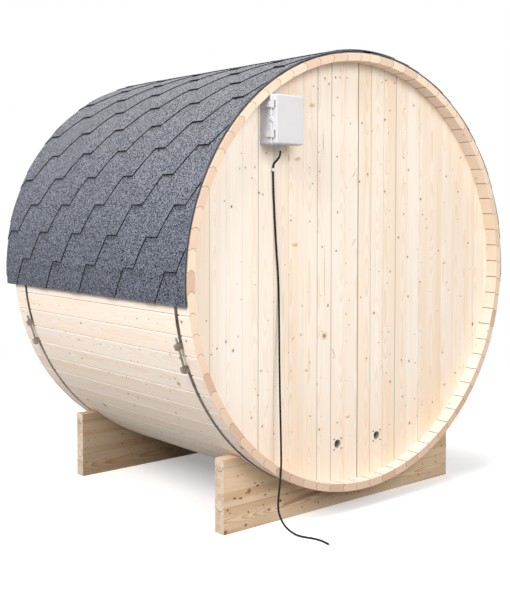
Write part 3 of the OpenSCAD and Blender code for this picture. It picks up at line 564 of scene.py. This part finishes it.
def stave_finish():
    """Planed wood, then its joints, the lip and the sawn ends, and a groove at each joint outside."""
    f = Finish("stave_spruce", 0.66, specular=0.08)
    p = stave_place(f)
    relief = wood(f, p.across, f.y, p.seed, STAVE_W, STAVE_PALE, GRAIN, 0.72, STAVE_CELLS, STAVE_DOT)
    flank_joints(f, p)
    rim_lip(f, p)
    f.coat(p.sawn, sawn_end(f, p))
    groove = f.least(f.fade(p.above, -0.008, 0.0), f.fade(p.above, 0.0018, 0.0003))
    groove = f.times(groove, f.minus(1.0, f.most(p.sawn, p.inner)), p.low_down)
    f.bump(relief, 0.25, 0.0006, f.bump(f.minus(1.0, groove), 1.0, 0.0022))
    return f.done()


dress(stave_finish(), "upper_right_staves", "right_staves", "lower_right_staves", "bottom_right_staves",
      "bottom_left_staves", "lower_left_staves", "left_staves", "upper_left_staves", "closing_staves")

# %% [markdown]
# ## Clear marks of the back wall
# Some knots and resin streaks of the back wall are easy to point at. Random ones would do from afar,
# but marks in their own places make the wall recognisable. Each is noted by its column and row in the
# picture, where it was read off, and the way from the eye through that pixel leads to its place on the wall.

# %% Knots and streaks seen in the picture
WALL_FACE = -0.650
PICTURE_W, PICTURE_H = 510, 600
# Column and row of each knot in the picture, and its half width in millimetres
WALL_KNOTS = (
    (385, 120, 5.0), (384.5, 191.5, 4.5), (408.5, 170, 4.0), (414, 105.5, 4.0), (408, 296.5, 4.5),
    (374, 313, 5.0), (472.5, 324, 6.0), (259, 193, 3.5), (231.5, 206.5, 4.5), (325, 78.5, 4.5),
    (329, 84, 4.0), (386, 80.5, 4.0), (394.5, 83, 4.0), (362, 123, 3.5), (372, 131, 3.5),
    (403.5, 214, 4.0), (426, 219, 3.5), (427, 228, 3.5), (407.5, 257, 4.5), (328, 305.5, 5.0),
    (226, 342, 4.5), (233, 350.5, 4.5), (217, 348.5, 3.0), (245.5, 167.5, 3.0), (255, 167.5, 3.0),
    (340, 77.5, 3.0), (347, 78, 3.0), (390, 271.5, 4.0), (420, 282, 4.0), (398.5, 237.5, 4.5),
    (420.5, 199, 5.0), (261, 371, 3.5), (258, 395, 3.5), (251.5, 418, 3.5), (262, 426.5, 3.5),
    (401.5, 360, 3.5), (409, 361, 4.5), (366.5, 358.5, 3.5), (455, 373, 4.0), (390, 382, 4.5),
    (402.5, 396.5, 4.0), (422, 404.5, 3.5), (432.5, 402, 3.5), (409.5, 423, 5.0), (319.5, 429.5, 4.0),
)
# The same for each resin streak, with how much taller than wide it is and how far it leans
WALL_STREAKS = (
    (354.5, 173.5, 4.5, 5.5, 0.7), (354, 242, 4.5, 4.5, 0.7), (297.5, 159, 18.0, 0.6, 0.5),
    (312, 105.5, 18.0, 0.5, 0.3), (295, 245, 22.0, 0.35, 0.0), (289, 158, 5.0, 3.5, 0.0),
    (444, 263, 14.0, 0.5, 0.5), (448.5, 290, 10.0, 0.5, 0.5), (301, 335, 9.0, 0.8, 0.5),
    (333, 115.5, 9.0, 0.5, -0.5), (324.5, 275, 3.0, 45.0, 0.0), (323.5, 142, 3.0, 22.0, 0.0),
    (349, 325, 4.0, 2.0, -0.6), (333.5, 352.5, 4.0, 6.0, -0.5), (306.5, 370.5, 13.0, 0.5, -0.5),
    (347.5, 417, 12.0, 0.6, -0.3), (444.5, 384.5, 13.0, 0.4, 0.2), (293, 338.5, 7.0, 1.5, 0.8),
)
print("wall marks:", len(WALL_KNOTS), "knots and", len(WALL_STREAKS), "streaks")

# %% Marks on the wall
KNOT_TALL, NO_MARK, MM = 1.15, 9.0, 1000
RESIN = rgb(206, 160, 110)


def wall_spot(column, row):
    """Place (x, z) on the back wall's face at a pixel of the picture: the way from the eye through the
    pixel, which lies beside and above the lens's middle, taken as far as the wall."""
    side, up, back = np.array(camera.rotation_euler.to_matrix()).T
    reach = camera.data.lens / camera.data.sensor_width
    beside = (column - PICTURE_W / 2) / PICTURE_H + camera.data.shift_x
    above = (PICTURE_H / 2 - row) / PICTURE_H + camera.data.shift_y
    way = side * beside / reach + up * above / reach - back
    x, _, z = np.array(EYE) + way * (WALL_FACE - EYE[1]) / way[1]
    return float(x), float(z)


def mark_wall(f):
    """Knots and streaks over the wood: of all marks the nearest counts, its distance measured in its
    own half width and ruffled by a noise."""
    ruffle = f.fade(f.noise(f.place, 170.0, 2.0), 0.2, 0.8, 0.65, 1.35)
    near = NO_MARK
    for column, row, width, tall, lean in WALL_STREAKS:
        off = f.off_spot(*wall_spot(column, row), tall=tall, lean=lean)
        near = f.least(f.over(off, width / MM), near)
    f.coat(f.fade(f.times(near, ruffle), 1.1, 0.4, 0.0, 0.7), RESIN)
    near, flat = NO_MARK, f.join(f.x, 0.0, f.over(f.z, KNOT_TALL))
    for column, row, width in WALL_KNOTS:
        x, z = wall_spot(column, row)
        off = f.add("VectorMath", {0: flat, 1: (x, 0.0, z / KNOT_TALL)}, 1, operation="DISTANCE")
        near = f.least(f.over(off, width / MM), near)
    near = f.times(near, ruffle)
    f.coat(f.fade(near, 2.2, 0.8, 0.0, 0.3), KNOT_RING)
    f.coat(f.fade(near, 1.1, 0.5, 0.0, 0.85), KNOT)


print("the first knot is at", [round(c, 3) for c in wall_spot(*WALL_KNOTS[0][:2])])

# %% [markdown]
# ## Upright boards
# The end walls and the door are tongued boards that stand upright. Each could have a material of its
# own, but a board's number is its place across divided by the board's width, so one finish serves a
# wall. Some joints have opened as the wood dried and show as dark lines, the widest near the middle.
# The back wall has painted light on its boards at the left, is warmer at its foot, and its two vents have
# painted shade that darkens inwards.

# %% Wall finishes
WALL_JOINT, FRONT_JOINT, BOARD_W, DOOR_BOARDS = 0.004, 0.311, 0.0777, 7
WALL_CELLS = (0.08, 0.7)
VENTS, BORE_R, BORE_DEEP = ((-0.110, 0.2819), (0.125, 0.2819)), 0.0184, 0.03
PAINTED_LIGHT_LEFT, WARM_FOOT, OPEN_JOINT = rgb(255, 250, 243), rgb(247, 214, 180), rgb(112, 95, 82)
BORE_FRONT, BORE_BACK = rgb(224, 210, 196), rgb(124, 113, 104)
WIDE_JOINTS = ((0, 0.9), (1, 0.35), (3, 0.5), (-2, 0.5), (-3, 0.45), (-7, 0.4))


def back_wall_tones(f):
    """Painted light on the boards at the left, a warmer foot and the clear marks."""
    # painted light: the boards at the left are paler, where the rim keeps the lamps off them
    left = f.times(f.fade(f.x, -0.35, -0.62, 0.0, 0.45), f.fade(f.x, -0.80, -0.70))
    f.coat(left, PAINTED_LIGHT_LEFT)
    f.coat(f.fade(f.z, 0.65, 0.25, 0.0, 0.3), WARM_FOOT)
    mark_wall(f)


def board_finish(name, joint_x, width, start=0.0, open_joints=(), holes=(), marked=False):
    """Upright boards of one width from a joint; start is where their random numbers begin."""
    f = Finish(name, 0.62, specular=0.25)
    count = f.over(f.minus(f.x, joint_x), width)
    seed = f.chance(f.plus(f.floor(count), start))
    across = f.times(f.fract(count), width)
    relief = wood(f, across, f.z, seed, width, cells=WALL_CELLS if marked else KNOT_CELLS)
    if marked:
        back_wall_tones(f)
    nearest = f.round(count)
    edge = f.size(f.times(f.minus(count, nearest), width))
    dark = f.fade(f.chance(f.plus(nearest, start + 60.0)), 0.2, 1.0, 0.08, 0.3)
    joint = f.times(f.fade(edge, 0.0024, 0.0009), dark)
    for number, strength in open_joints:
        opened = f.times(f.equals(nearest, float(number), 0.1), strength)
        joint = f.most(joint, f.times(f.fade(edge, 0.0034, 0.0012), opened))
    f.coat(joint, OPEN_JOINT)
    for x, z in holes:
        # painted shade: each vent's bore darkens from its front to its back
        bore = f.mix(f.fade(f.y, WALL_FACE, WALL_FACE + BORE_DEEP), BORE_FRONT, BORE_BACK)
        f.coat(f.below(f.off_spot(x, z), BORE_R), bore)
    f.bump(relief, 0.25, 0.0006)
    return f.done()


back_wall = board_finish("back_wall_spruce", WALL_JOINT, BOARD_W, 0.0, WIDE_JOINTS, VENTS, True)
dress(back_wall, "back_wall")
dress(board_finish("front_wall_spruce", FRONT_JOINT, BOARD_W, 20.0),
      "front_wall_left", "front_wall_right", "front_wall_over_door", "front_wall_under_door")
door_low, door_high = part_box("door_boards")
door_board_w = (door_high.x - door_low.x) / DOOR_BOARDS
dress(board_finish("door_spruce", door_low.x, door_board_w, 90.0), "door_boards")

# %% [markdown]
# ## Cradles
# A cradle is three boards of coarser, tanner wood that lie on edge, joined by a round bead as the
# staves are. The grain now runs along X. On the near cradle a brown resin streak and a dozen knots
# stand out, so these have places of their own; the far one stands in the barrel's shade and is greyer.

# %% Cradle joints and marks
CRADLE_JOINTS, CRADLE_END, CRADLE_MIDDLES = (0.104, 0.263), 0.664, (-0.563, 0.541)
CRADLE_BEAD_R, CRADLE_BEAD_H = 0.0241, 0.017
DARK_KNOT, BROWN_KNOT, RED_KNOT = rgb(84, 56, 36), rgb(136, 102, 76), rgb(108, 62, 38)
STREAK_BROWN, STREAK_LEAN, STREAK_Z = rgb(150, 100, 62), 0.09, 0.092
# Place (x, z) of each knot, its radius, how much wider than tall it is, and its tone
CRADLE_KNOTS = (
    (-0.538, 0.151, 0.012, 1.0, BROWN_KNOT), (-0.555, 0.018, 0.007, 1.3, BROWN_KNOT),
    (-0.435, 0.055, 0.006, 1.8, BROWN_KNOT), (-0.165, 0.030, 0.006, 1.0, BROWN_KNOT),
    (-0.375, 0.080, 0.008, 1.0, RED_KNOT), (-0.610, 0.135, 0.005, 1.6, DARK_KNOT),
    (-0.580, 0.130, 0.004, 3.0, DARK_KNOT), (-0.645, 0.095, 0.005, 1.2, DARK_KNOT),
    (-0.495, 0.165, 0.004, 2.5, DARK_KNOT), (-0.470, 0.172, 0.003, 2.5, DARK_KNOT),
    (-0.455, 0.120, 0.004, 1.8, DARK_KNOT), (-0.340, 0.100, 0.004, 1.2, DARK_KNOT),
)


def cradle_joints(f):
    """Mask of the joints between a cradle's boards: a board's lower edge is a round bead, so on the
    sawn ends the joint dips by the bead's height, and on the faces it runs level."""
    off = f.least(*(f.off(f.y, y) for y in CRADLE_MIDDLES))
    level = f.plus(f.z, bead_height(f, off, CRADLE_BEAD_R, CRADLE_BEAD_H))
    return f.fade(f.least(*(f.off(level, z) for z in CRADLE_JOINTS)), 0.0022, 0.0008)


def mark_cradle(f, near):
    """Resin streak and knots of the near cradle."""
    off_streak = f.off(f.z, f.line(f.x, STREAK_LEAN, STREAK_Z))
    streak = f.times(f.fade(off_streak, 0.012, 0.004), near, f.fade(f.x, -0.375, -0.35))
    f.coat(f.times(streak, f.fade(f.x, 0.02, -0.12, 0.0, 0.6)), STREAK_BROWN)
    for x, z, radius, stretch, tone in CRADLE_KNOTS:
        spot = f.fade(f.off_spot(x, z, stretch), radius, radius * 0.6, 0.0, 0.9)
        f.coat(f.times(spot, near), tone)


print("near cradle:", len(CRADLE_KNOTS), "clear knots")

# %% Cradle finish
CRADLE_PALE, CRADLE_GRAIN = rgb(242, 219, 189), rgb(178, 135, 93)
CRADLE_BOARD_W, CRADLE_CELLS, SHADED = 0.15, (0.042, 0.12), rgb(136, 118, 98)
CRADLE_END_PALE, CRADLE_END_DARK = rgb(219, 201, 180), rgb(184, 156, 127)
CRADLE_JOINT = rgb(96, 78, 62)


def cradle_end(f):
    """Colour of the sawn ends: blocks of differing tone, fibres and damp stains."""
    blocks = f.chance(f.plus(f.floor(f.times(f.z, 26.0)), 31.0))
    fibre = f.noise(f.place, 300.0, 3.0, 0.7)
    stain = f.noise(f.place, 34.0, 2.0, 0.6)
    shade = f.line(fibre, 0.6, f.line(blocks, 0.35, -0.3))
    shade = f.plus(shade, f.fade(stain, 0.45, 0.65, 0.0, 0.5))
    return f.mix(shade, CRADLE_END_PALE, CRADLE_END_DARK)


def cradle_finish():
    """Three boards by height on two cradles by place, their marks, sawn ends and joints."""
    f = Finish("cradle_spruce", 0.66, specular=0.15)
    low, high = (f.above(f.z, z) for z in CRADLE_JOINTS)
    near, far = f.below(f.y, 0.0), f.above(f.y, 0.0)
    seed = f.chance(f.plus(f.line(far, 5.0, f.plus(low, high)), 8.0))
    relief = wood(f, f.z, f.x, seed, CRADLE_BOARD_W, CRADLE_PALE, CRADLE_GRAIN, cells=CRADLE_CELLS)
    mark_cradle(f, near)
    f.coat(f.times(far, 0.4), SHADED)
    sawn = f.equals(f.size(f.x), CRADLE_END, SKIN)
    f.coat(sawn, cradle_end(f))
    f.coat(f.times(cradle_joints(f), f.line(sawn, 0.5, 0.28)), CRADLE_JOINT)
    f.bump(relief, 0.35, 0.0008)
    return f.done()


dress(cradle_finish(), "back_cradle", "front_cradle")

# %% [markdown]
# ## Frame, ledges and handle
# The door's frame, ledges and handle are timbers that stand alone. They could share the boards' finish,
# but they have no joints to count, so theirs is simpler: only the direction of the grain, the random
# number and the tones change.

# %% Frame, ledge and handle finishes
TIMBER_W = 0.09
FRAME_PALE, FRAME_GRAIN = rgb(244, 222, 194), rgb(224, 188, 148)
PINE_PALE, PINE_GRAIN = rgb(214, 170, 118), rgb(176, 122, 74)


def timber_finish(name, lying, start, pale=PALE, grain=GRAIN):
    """Lone timber: the grain runs along X where lying, and else along Z."""
    f = Finish(name, 0.6)
    across, along = (f.z, f.x) if lying else (f.x, f.z)
    relief = wood(f, across, along, f.chance(start), TIMBER_W, pale, grain, 1.1)
    f.bump(relief, 0.25, 0.0006)
    return f.done()


dress(timber_finish("door_frame_spruce", False, 5.0, FRAME_PALE, FRAME_GRAIN), "door_frame")
dress(timber_finish("door_ledge_spruce", True, 9.0), "door_ledges")
dress(timber_finish("handle_pine", False, 2.0, PINE_PALE, PINE_GRAIN), "door_handle")

# %% [markdown]
# ## Shingles
# The roof is bitumen shingles with tabs like half hexagons. Tones could be painted tab by tab, but
# which tab a spot belongs to follows from its angle and its place along the roof: the angle gives the
# course, and the distance from the tab's middle tells whether the spot lies on that tab or in the gap,
# where the course below shows.

# %% Place on a tab
ROOF_LOW, COURSE_A = 185.2673, 7.7132
TAB_START, TAB_PITCH, TAB_W, TAB_SLOPE = -0.617, 0.290, 0.076, 0.069


def tab_place(f):
    """Where a spot lies: its height, how far up its course, how far beyond its tab's edge, whether in
    the gap, and a random tone of the tab that shows there."""
    p = SimpleNamespace()
    p.height = f.minus(f.z, AXIS_Z)
    turn = f.math("DEGREES", f.math("ARCTAN2", p.height, f.times(f.size(f.x), -1.0)))
    rise = f.over(f.minus(ROOF_LOW, f.math("FLOORED_MODULO", turn, 360.0)), COURSE_A)
    course, p.up = f.floor(rise), f.fract(rise)
    odd = f.math("FLOORED_MODULO", course, 2.0)
    along = f.over(f.minus(f.y, TAB_START), TAB_PITCH)
    own = f.minus(along, f.line(odd, -0.5, 0.5))
    below = f.minus(along, f.times(odd, 0.5))
    off = f.times(f.off(own, f.round(own)), TAB_PITCH)
    p.beyond = f.minus(off, f.line(p.up, TAB_SLOPE, TAB_W / 2))
    on_tab = f.below(p.beyond, 0.0)
    p.gap = f.minus(1.0, on_tab)
    tab = f.choose(on_tab, f.round(below), f.round(own))
    shown = f.join(tab, f.minus(course, p.gap), f.math("SIGN", f.x))
    p.tone = f.add("TexWhiteNoise", {"Vector": shown}, noise_dimensions="3D")
    return p


print("a course of shingles is", round(np.radians(COURSE_A) * BARREL_R * 1000), "mm high")

# %% [markdown]
# ## Granules and cut edges
# The shingles are strewn with slate granules. A noise could stand for them, but in a cell pattern each
# granule has an edge and a tone of its own. As painted light, the roof is bluer low down and greyer near
# the ridge. Each tab is lighter or darker as a whole, and the gap darkens under the tab above it, partly
# like a printed shadow band and partly as painted shade, with thin lines of painted shade under and beside
# each tab. The cut edges are bare black bitumen, except for the grey upper half at the roof's ends.

# %% Shingle finish
GRIT_SCALE = 330.0
GRANULE_LOW, GRANULE_HIGH, GRANULE_DARK = rgb(118, 122, 135), rgb(119, 120, 124), rgb(20, 23, 31)
CUT_BLACK, VERGE_DARK, VERGE_GREY = rgb(28, 27, 29), rgb(38, 39, 44), rgb(108, 112, 121)


def cut_edge(f, p):
    """Mask and colour of the edges: faces that don't look away from the axis."""
    outward = f.add("VectorMath", {0: f.join(f.x, 0.0, p.height)}, operation="NORMALIZE")
    out = f.add("VectorMath", {0: f.normal, 1: outward}, 1, operation="DOT_PRODUCT")
    at_verge = f.above(f.size(f.split(f.normal)[1]), 0.95)
    outer = f.fade(f.length(f.x, p.height), BARREL_R + 0.004, BARREL_R + 0.008)
    cut = f.mix(at_verge, CUT_BLACK, f.mix(outer, VERGE_DARK, VERGE_GREY))
    return f.fade(f.size(out), 0.75, 0.5), cut


def shingle_finish():
    """Granules by a cell pattern, lightened by cloud and tab, darkened in the gaps partly like a printed
    shadow band and partly by painted shade, and cut edges.
    """
    f = Finish("granule_shingle", 0.88, specular=0.25)
    p = tab_place(f)
    grit = f.add("TexVoronoi", {"Vector": f.place, "Scale": GRIT_SCALE}, 1)
    grit = f.fade(f.split(grit)[0], 0.2, 0.9)
    cloud = f.fade(f.noise(f.place, 7.0, 3.0, 0.6), 0.25, 0.75, 0.95, 1.05)
    # painted shade in the gap, with a broad band like a printed shadow band under the tab above, and thin
    # dark lines under and beside each tab
    under = f.most(f.fade(p.up, 0.75, 1.0, 0.0, 0.28), f.fade(p.up, 0.96, 0.985, 0.0, 0.75),
                   f.fade(p.beyond, 0.0045, 0.0015, 0.0, 0.75))
    light = f.times(f.line(grit, 0.9, 0.07), cloud, f.line(p.tone, 0.14, 0.93))
    light = f.times(light, f.minus(1.0, f.times(p.gap, under)))
    # painted light: bluer granules low on the roof, greyer near the ridge
    granule = f.mix(f.fade(p.height, 0.0, 0.85), GRANULE_LOW, GRANULE_HIGH)
    f.top = f.mix(f.fade(light, 0.0, 1.0), GRANULE_DARK, granule)
    f.coat(*cut_edge(f, p))
    f.bump(grit, 0.4, 0.001)
    return f.done()


dress(shingle_finish(), "left_shingles", "right_shingles", "ridge_shingles")

# %% [markdown]
# ## Felt, steel, zinc, wire and rubber
# These are plain materials whose life is in their small changes. A single colour would look like
# paint, so each has a noise of its own: felt a nap with bluish fibres, strip steel brown stains and
# drawn lines, zinc a spangle, wire some dust, and rubber the scuffs along the cord.


# %% Felt, metal and rubber finishes
def felt_finish():
    """Dark to bluish fibres, raised as a nap."""
    f = Finish("underlay_felt", 0.95, specular=0.2)
    nap = f.noise(f.place, 260.0, 4.0, 0.7)
    f.top = f.mix(f.fade(nap, 0.3, 0.75), rgb(58, 66, 84), rgb(104, 114, 136))
    f.bump(nap, 0.4, 0.001)
    return f.done()


def steel_finish(name, clean, stained, scored):
    """Strip steel: stains from clean to stained, and fine lines drawn along the strip."""
    f = Finish(name, 0.5, 0.75)
    stain = f.noise(f.place, 24.0, 4.0, 0.65)
    drawn = f.noise(f.join(f.times(f.x, 40.0), f.times(f.y, 1800.0), f.times(f.z, 40.0)), 1.0, 2.0)
    f.top = f.mix(f.fade(stain, 0.35, 0.7), clean, stained)
    f.coat(f.fade(drawn, 0.55, 0.75, 0.0, 0.3), scored)
    f.bump(drawn, 0.15, 0.0003)
    return f.done(f.fade(stain, 0.3, 0.7, 0.42, 0.62))


def zinc_finish():
    """Crystals of zinc, each with its own grey."""
    f = Finish("zinc_plate", 0.4, 0.85)
    spangle = f.add("TexVoronoi", {"Vector": f.place, "Scale": 160.0}, 1)
    f.top = f.mix(f.split(spangle)[0], rgb(168, 170, 172), rgb(196, 198, 200))
    return f.done(f.fade(f.noise(f.place, 60.0), 0.3, 0.7, 0.32, 0.5))


def wire_finish(name, dark, dusty):
    """Dark metal with dust on it."""
    f = Finish(name, 0.6, 0.3)
    f.top = f.mix(f.noise(f.place, 300.0, 3.0), dark, dusty)
    return f.done()


def rubber_finish(name, dark, worn):
    """Rubber with scuffs that run along the cord."""
    f = Finish(name, 0.6, specular=0.2)
    drawn = f.join(f.times(f.x, 500.0), f.times(f.y, 500.0), f.times(f.z, 60.0))
    scuff = f.noise(drawn, 1.0, 3.0)
    f.bump(scuff, 0.1, 0.0002)
    f.top = f.mix(f.fade(scuff, 0.4, 0.8), dark, worn)
    return f.done(f.fade(scuff, 0.3, 0.7, 0.52, 0.68))


# %% Felt, metal and rubber on their pieces
dress(felt_finish(), "roof_felt")
strip = steel_finish("strip_steel", rgb(88, 78, 70), rgb(62, 52, 45), rgb(46, 39, 34))
dress(strip, "back_band", "front_band")
dress(steel_finish("lug_steel", rgb(148, 140, 132), rgb(110, 99, 89), rgb(80, 71, 63)),
      "back_band_lugs", "front_band_lugs", "back_band_bolt", "front_band_bolt")
dress(zinc_finish(), "door_hinges", "box_hinge_pin")
dress(wire_finish("dark_wire", rgb(52, 50, 48), rgb(96, 92, 88)), "vent_screens")
cord.data.materials.append(rubber_finish("cord_sheath_rubber", rgb(15, 14, 15), rgb(34, 33, 34)))
wires.data.materials.append(rubber_finish("wire_pale_sleeve", rgb(226, 220, 206), rgb(206, 198, 182)))

# %% [markdown]
# ## Moulded plastic
# The electrical box is pale grey plastic with a faint moulded texture. Faces that look up, left or to
# the wall get painted shade, the two slots behind the latches are filled with painted shade, and the strip
# where the cover closes is paler. These could be materials on single faces, but tones by direction and
# place need no choosing of faces.

# %% Plastic finish
LATCH_MIDDLE, LATCH_OFF, LATCH_Y, FLANGE_Y = 1.6118, 0.0565, -0.740, -0.7168
SLOT_HALF_L, SLOT_HALF_W, SLOT_X = 0.0155, 0.0036, (-0.5316, -0.52)
SLOT_SHADE, FLANGE_PALE, SIDE_SHADE = rgb(40, 38, 38), rgb(224, 224, 225), rgb(172, 178, 182)


def latch_slots(f):
    """Painted shade inside the two slots in the cover's left wall."""
    in_run = f.equals(f.off(f.z, LATCH_MIDDLE), LATCH_OFF, SLOT_HALF_L)
    in_width = f.equals(f.y, LATCH_Y, SLOT_HALF_W)
    in_wall = f.times(f.above(f.x, SLOT_X[0]), f.below(f.x, SLOT_X[1]))
    return f.times(in_run, in_width, in_wall), SLOT_SHADE


def flange_strip(f):
    """Paler strip of the base in front, where its flange takes the cover."""
    return f.below(f.y, FLANGE_Y), FLANGE_PALE


def plastic_finish(name, pale, dull, part=None, side=SIDE_SHADE):
    """Pale to dull clouds, one part with another tone, and painted shade by the face's direction."""
    f = Finish(name, 0.5, specular=0.3)
    grain = f.noise(f.place, 900.0, 2.0)
    cloud = f.noise(f.place, 9.0, 3.0)
    f.top = f.mix(f.fade(cloud, 0.3, 0.75), pale, dull)
    if part:
        f.coat(*part(f))
    to_x, to_y, to_z = f.split(f.normal)
    # painted shade: faces that look up, left or to the wall take the side's darker tone
    turned = f.most(f.fade(to_x, -0.2, -0.7, 0.0, 0.6), f.fade(to_z, 0.2, 0.7, 0.0, 0.9),
                    f.fade(to_y, 0.2, 0.7, 0.0, 0.7))
    f.coat(turned, side)
    f.bump(grain, 0.12, 0.0002)
    return f.done(f.fade(cloud, 0.3, 0.7, 0.4, 0.52))


dress(plastic_finish("box_cover_plastic", rgb(219, 216, 217), rgb(212, 210, 211), latch_slots),
      "box_cover", "box_latches", "cover_padlock_eye")
dress(plastic_finish("box_base_plastic", rgb(206, 207, 214), rgb(198, 199, 206), flange_strip,
                     rgb(188, 193, 203)), "box_base", "box_padlock_eye")
dress(plastic_finish("gland_pale_plastic", rgb(226, 226, 224), rgb(214, 214, 212)),
      "cable_gland", "cord_clip")

# %% [markdown]
# ## Screws, nail and bolts
# Four dark screws hold each vent's wire screen, a nail holds the cord's clip, and coach bolts hold the
# door's straps. A head could be a cylinder, but a turned profile catches the light as a real one does.
# All heads of a kind are one array: the profile, the turn and the list of places are its axes.

# %% Screw heads
TO_BACK, TO_FRONT, TO_RIGHT = (0, -1, 0), (0, 1, 0), (1, 0, 0)
SCREW_OFF = 0.0215
PAN_HEAD = ((0.0034, -0.001), (0.0034, 0.0006), (0.0031, 0.0014), (0.0023, 0.0021), (0.0013, 0.0023),
            (0.0009, 0.0011))


def turned_heads(name, profile, centres, axis, finish, sides=16):
    """Heads as one piece: each point of the profile (radius r, height h) goes to centre + h axis +
    r (cos s a + sin s b), where a and b are the two directions across the axis."""
    r, h = np.array(profile).T[:, None, :, None, None]
    s = np.linspace(0, 2 * pi, sides, endpoint=False)[None, None, :, None]
    axis, a = np.array(axis, float), np.array(TO_RIGHT, float)
    b = np.cross(axis, a)
    points = np.array(centres, float)[:, None, None] + h * axis + r * (np.cos(s) * a + np.sin(s) * b)
    rows = len(profile)
    faces = [face for k in range(len(centres)) for face in grid_faces(rows, sides, k * rows * sides)]
    make_piece(name, points, faces).data.materials.append(finish)


screw_places = [(x + i * SCREW_OFF, WALL_FACE, z + k * SCREW_OFF)
                for x, z in VENTS for i in (-1, 1) for k in (-1, 1)]
screw_brown = wire_finish("brown_screw", rgb(74, 62, 54), rgb(98, 84, 74))
turned_heads("vent_screws", PAN_HEAD, screw_places, TO_BACK, screw_brown)

# %% Clip nail
NAIL_IN = 0.0026
NAIL_HEAD = ((0.0017, -0.0008), (0.0017, 0.0003), (0.0012, 0.0007), (0.0005, 0.0009))
clip_low, clip_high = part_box("cord_clip")
nail_place = (clip_low.x + NAIL_IN, clip_low.y, (clip_low.z + clip_high.z) / 2)
turned_heads("clip_nail", NAIL_HEAD, [nail_place], TO_BACK, zinc_finish())

# %% Strap bolts
STRAP_T, STRAP_HALF_W, BOLTS_ALONG = 0.004, 0.018, (0.022, 0.095, 0.170)
COACH_HEAD = ((0.0085, 0.0), (0.0085, 0.0008), (0.0072, 0.0026), (0.0046, 0.0040), (0.0018, 0.0045))
hinge_low, hinge_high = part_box("door_hinges")
strap_face = door_high.y + STRAP_T
strap_z = [hinge_low.z + STRAP_HALF_W, hinge_high.z - STRAP_HALF_W]
strap_places = [(hinge_low.x + off, strap_face, z) for off in BOLTS_ALONG for z in strap_z]
turned_heads("strap_bolts", COACH_HEAD, strap_places, TO_FRONT, zinc_finish())

# %% [markdown]
# ## Floor and background
# The picture's background is plain white. More light would turn the floor white and the wood with it,
# so the floor shows its own white to the camera and to reflections only, weaker near the barrel, where
# it keeps the soft shadow. The world does the same, and elsewhere it is a plain level of light.

# %% Floor
FLOOR_SIZE, FLOOR_UNDER = 40.0, 0.0005
SHADOW_R, WHITE_R, NEAR_GLOW = 1.6, 4.0, 0.30
FLOOR_SEEN, FLOOR_FAR, FLOOR_BOUNCE = (0.80, 0.80, 0.80, 1), (0.0, 0.0, 0.0, 1), (0.25, 0.245, 0.24, 1)
floor_corners = np.array([(-1, -1, 0), (1, -1, 0), (1, 1, 0), (-1, 1, 0)])
floor_points = floor_corners * FLOOR_SIZE + np.array([0, 0, -FLOOR_UNDER])
floor_mesh = bpy.data.meshes.new("floor")
floor_mesh.from_pydata(floor_points.tolist(), [], [(0, 1, 2, 3)])
floor = bpy.data.objects.new("floor", floor_mesh)
bpy.context.scene.collection.objects.link(floor)
f = Finish("studio_floor", 0.9, specular=0.0)
seen = f.shown()
off_middle = f.add("VectorMath", {0: f.place}, 1, operation="LENGTH")
glow = f.times(seen, f.fade(off_middle, SHADOW_R, WHITE_R, NEAR_GLOW, 1.0))
lit = f.mix(f.fade(off_middle, SHADOW_R, WHITE_R), FLOOR_SEEN, FLOOR_FAR)
f.set(f.shader, {"Emission Color": (1, 1, 1, 1), "Emission Strength": glow})
f.top = f.mix(seen, FLOOR_BOUNCE, lit)
floor_mesh.materials.append(f.done())
print("floor", 2 * FLOOR_SIZE, "m wide, shadow within", WHITE_R, "m")

# %% World
WORLD_LIGHT, WORLD_WHITE = 0.3, 1.0
world = bpy.data.worlds.new("studio")
bpy.context.scene.world = world
world.use_nodes = True
net = Net(world.node_tree)
level = net.add("MapRange", {0: net.shown(), 3: WORLD_LIGHT, 4: WORLD_WHITE})
background = next(n for n in net.tree.nodes if n.type == "BACKGROUND")
net.set(background, {"Color": (1.0, 1.0, 1.0, 1.0), "Strength": level})
print("world light", WORLD_LIGHT, "and", WORLD_WHITE, "where it is seen")

# %% [markdown]
# ## Lamps
# Four large square lamps are turned to the barrel's middle: one before the back wall, one high at the
# left for the flank and the roof, one above, and a weak one for the door at the far end. Large lamps
# make soft shadows, and the barrel's underside falls into shade by itself.

# %% Lamps
LAMP_TARGET, LAMP_SIZE = (0, 0, 1.0), 4.0


def lamp(name, place, power):
    """Square area lamp at a place, turned to the target."""
    data = bpy.data.lights.new(name, "AREA")
    data.shape, data.size, data.energy = "SQUARE", LAMP_SIZE, power
    obj = bpy.data.objects.new(name, data)
    bpy.context.scene.collection.objects.link(obj)
    obj.location = place
    obj.rotation_euler = (Vector(LAMP_TARGET) - Vector(place)).to_track_quat("-Z", "Y").to_euler()
    print(name, "at", place, power, "W")


lamp("key_lamp", (-1.5, -7.0, 4.5), 370)
lamp("left_lamp", (-6.5, -1.5, 6.0), 690)
lamp("top_lamp", (-1.0, 0.5, 7.0), 510)
lamp("door_lamp", (4.0, 7.0, 4.0), 200)

# %% [markdown]
# ## Finish
# The view transform is Standard, so that colours come out as they are written.

# %% Finish
bpy.context.scene.view_settings.view_transform = "Standard"
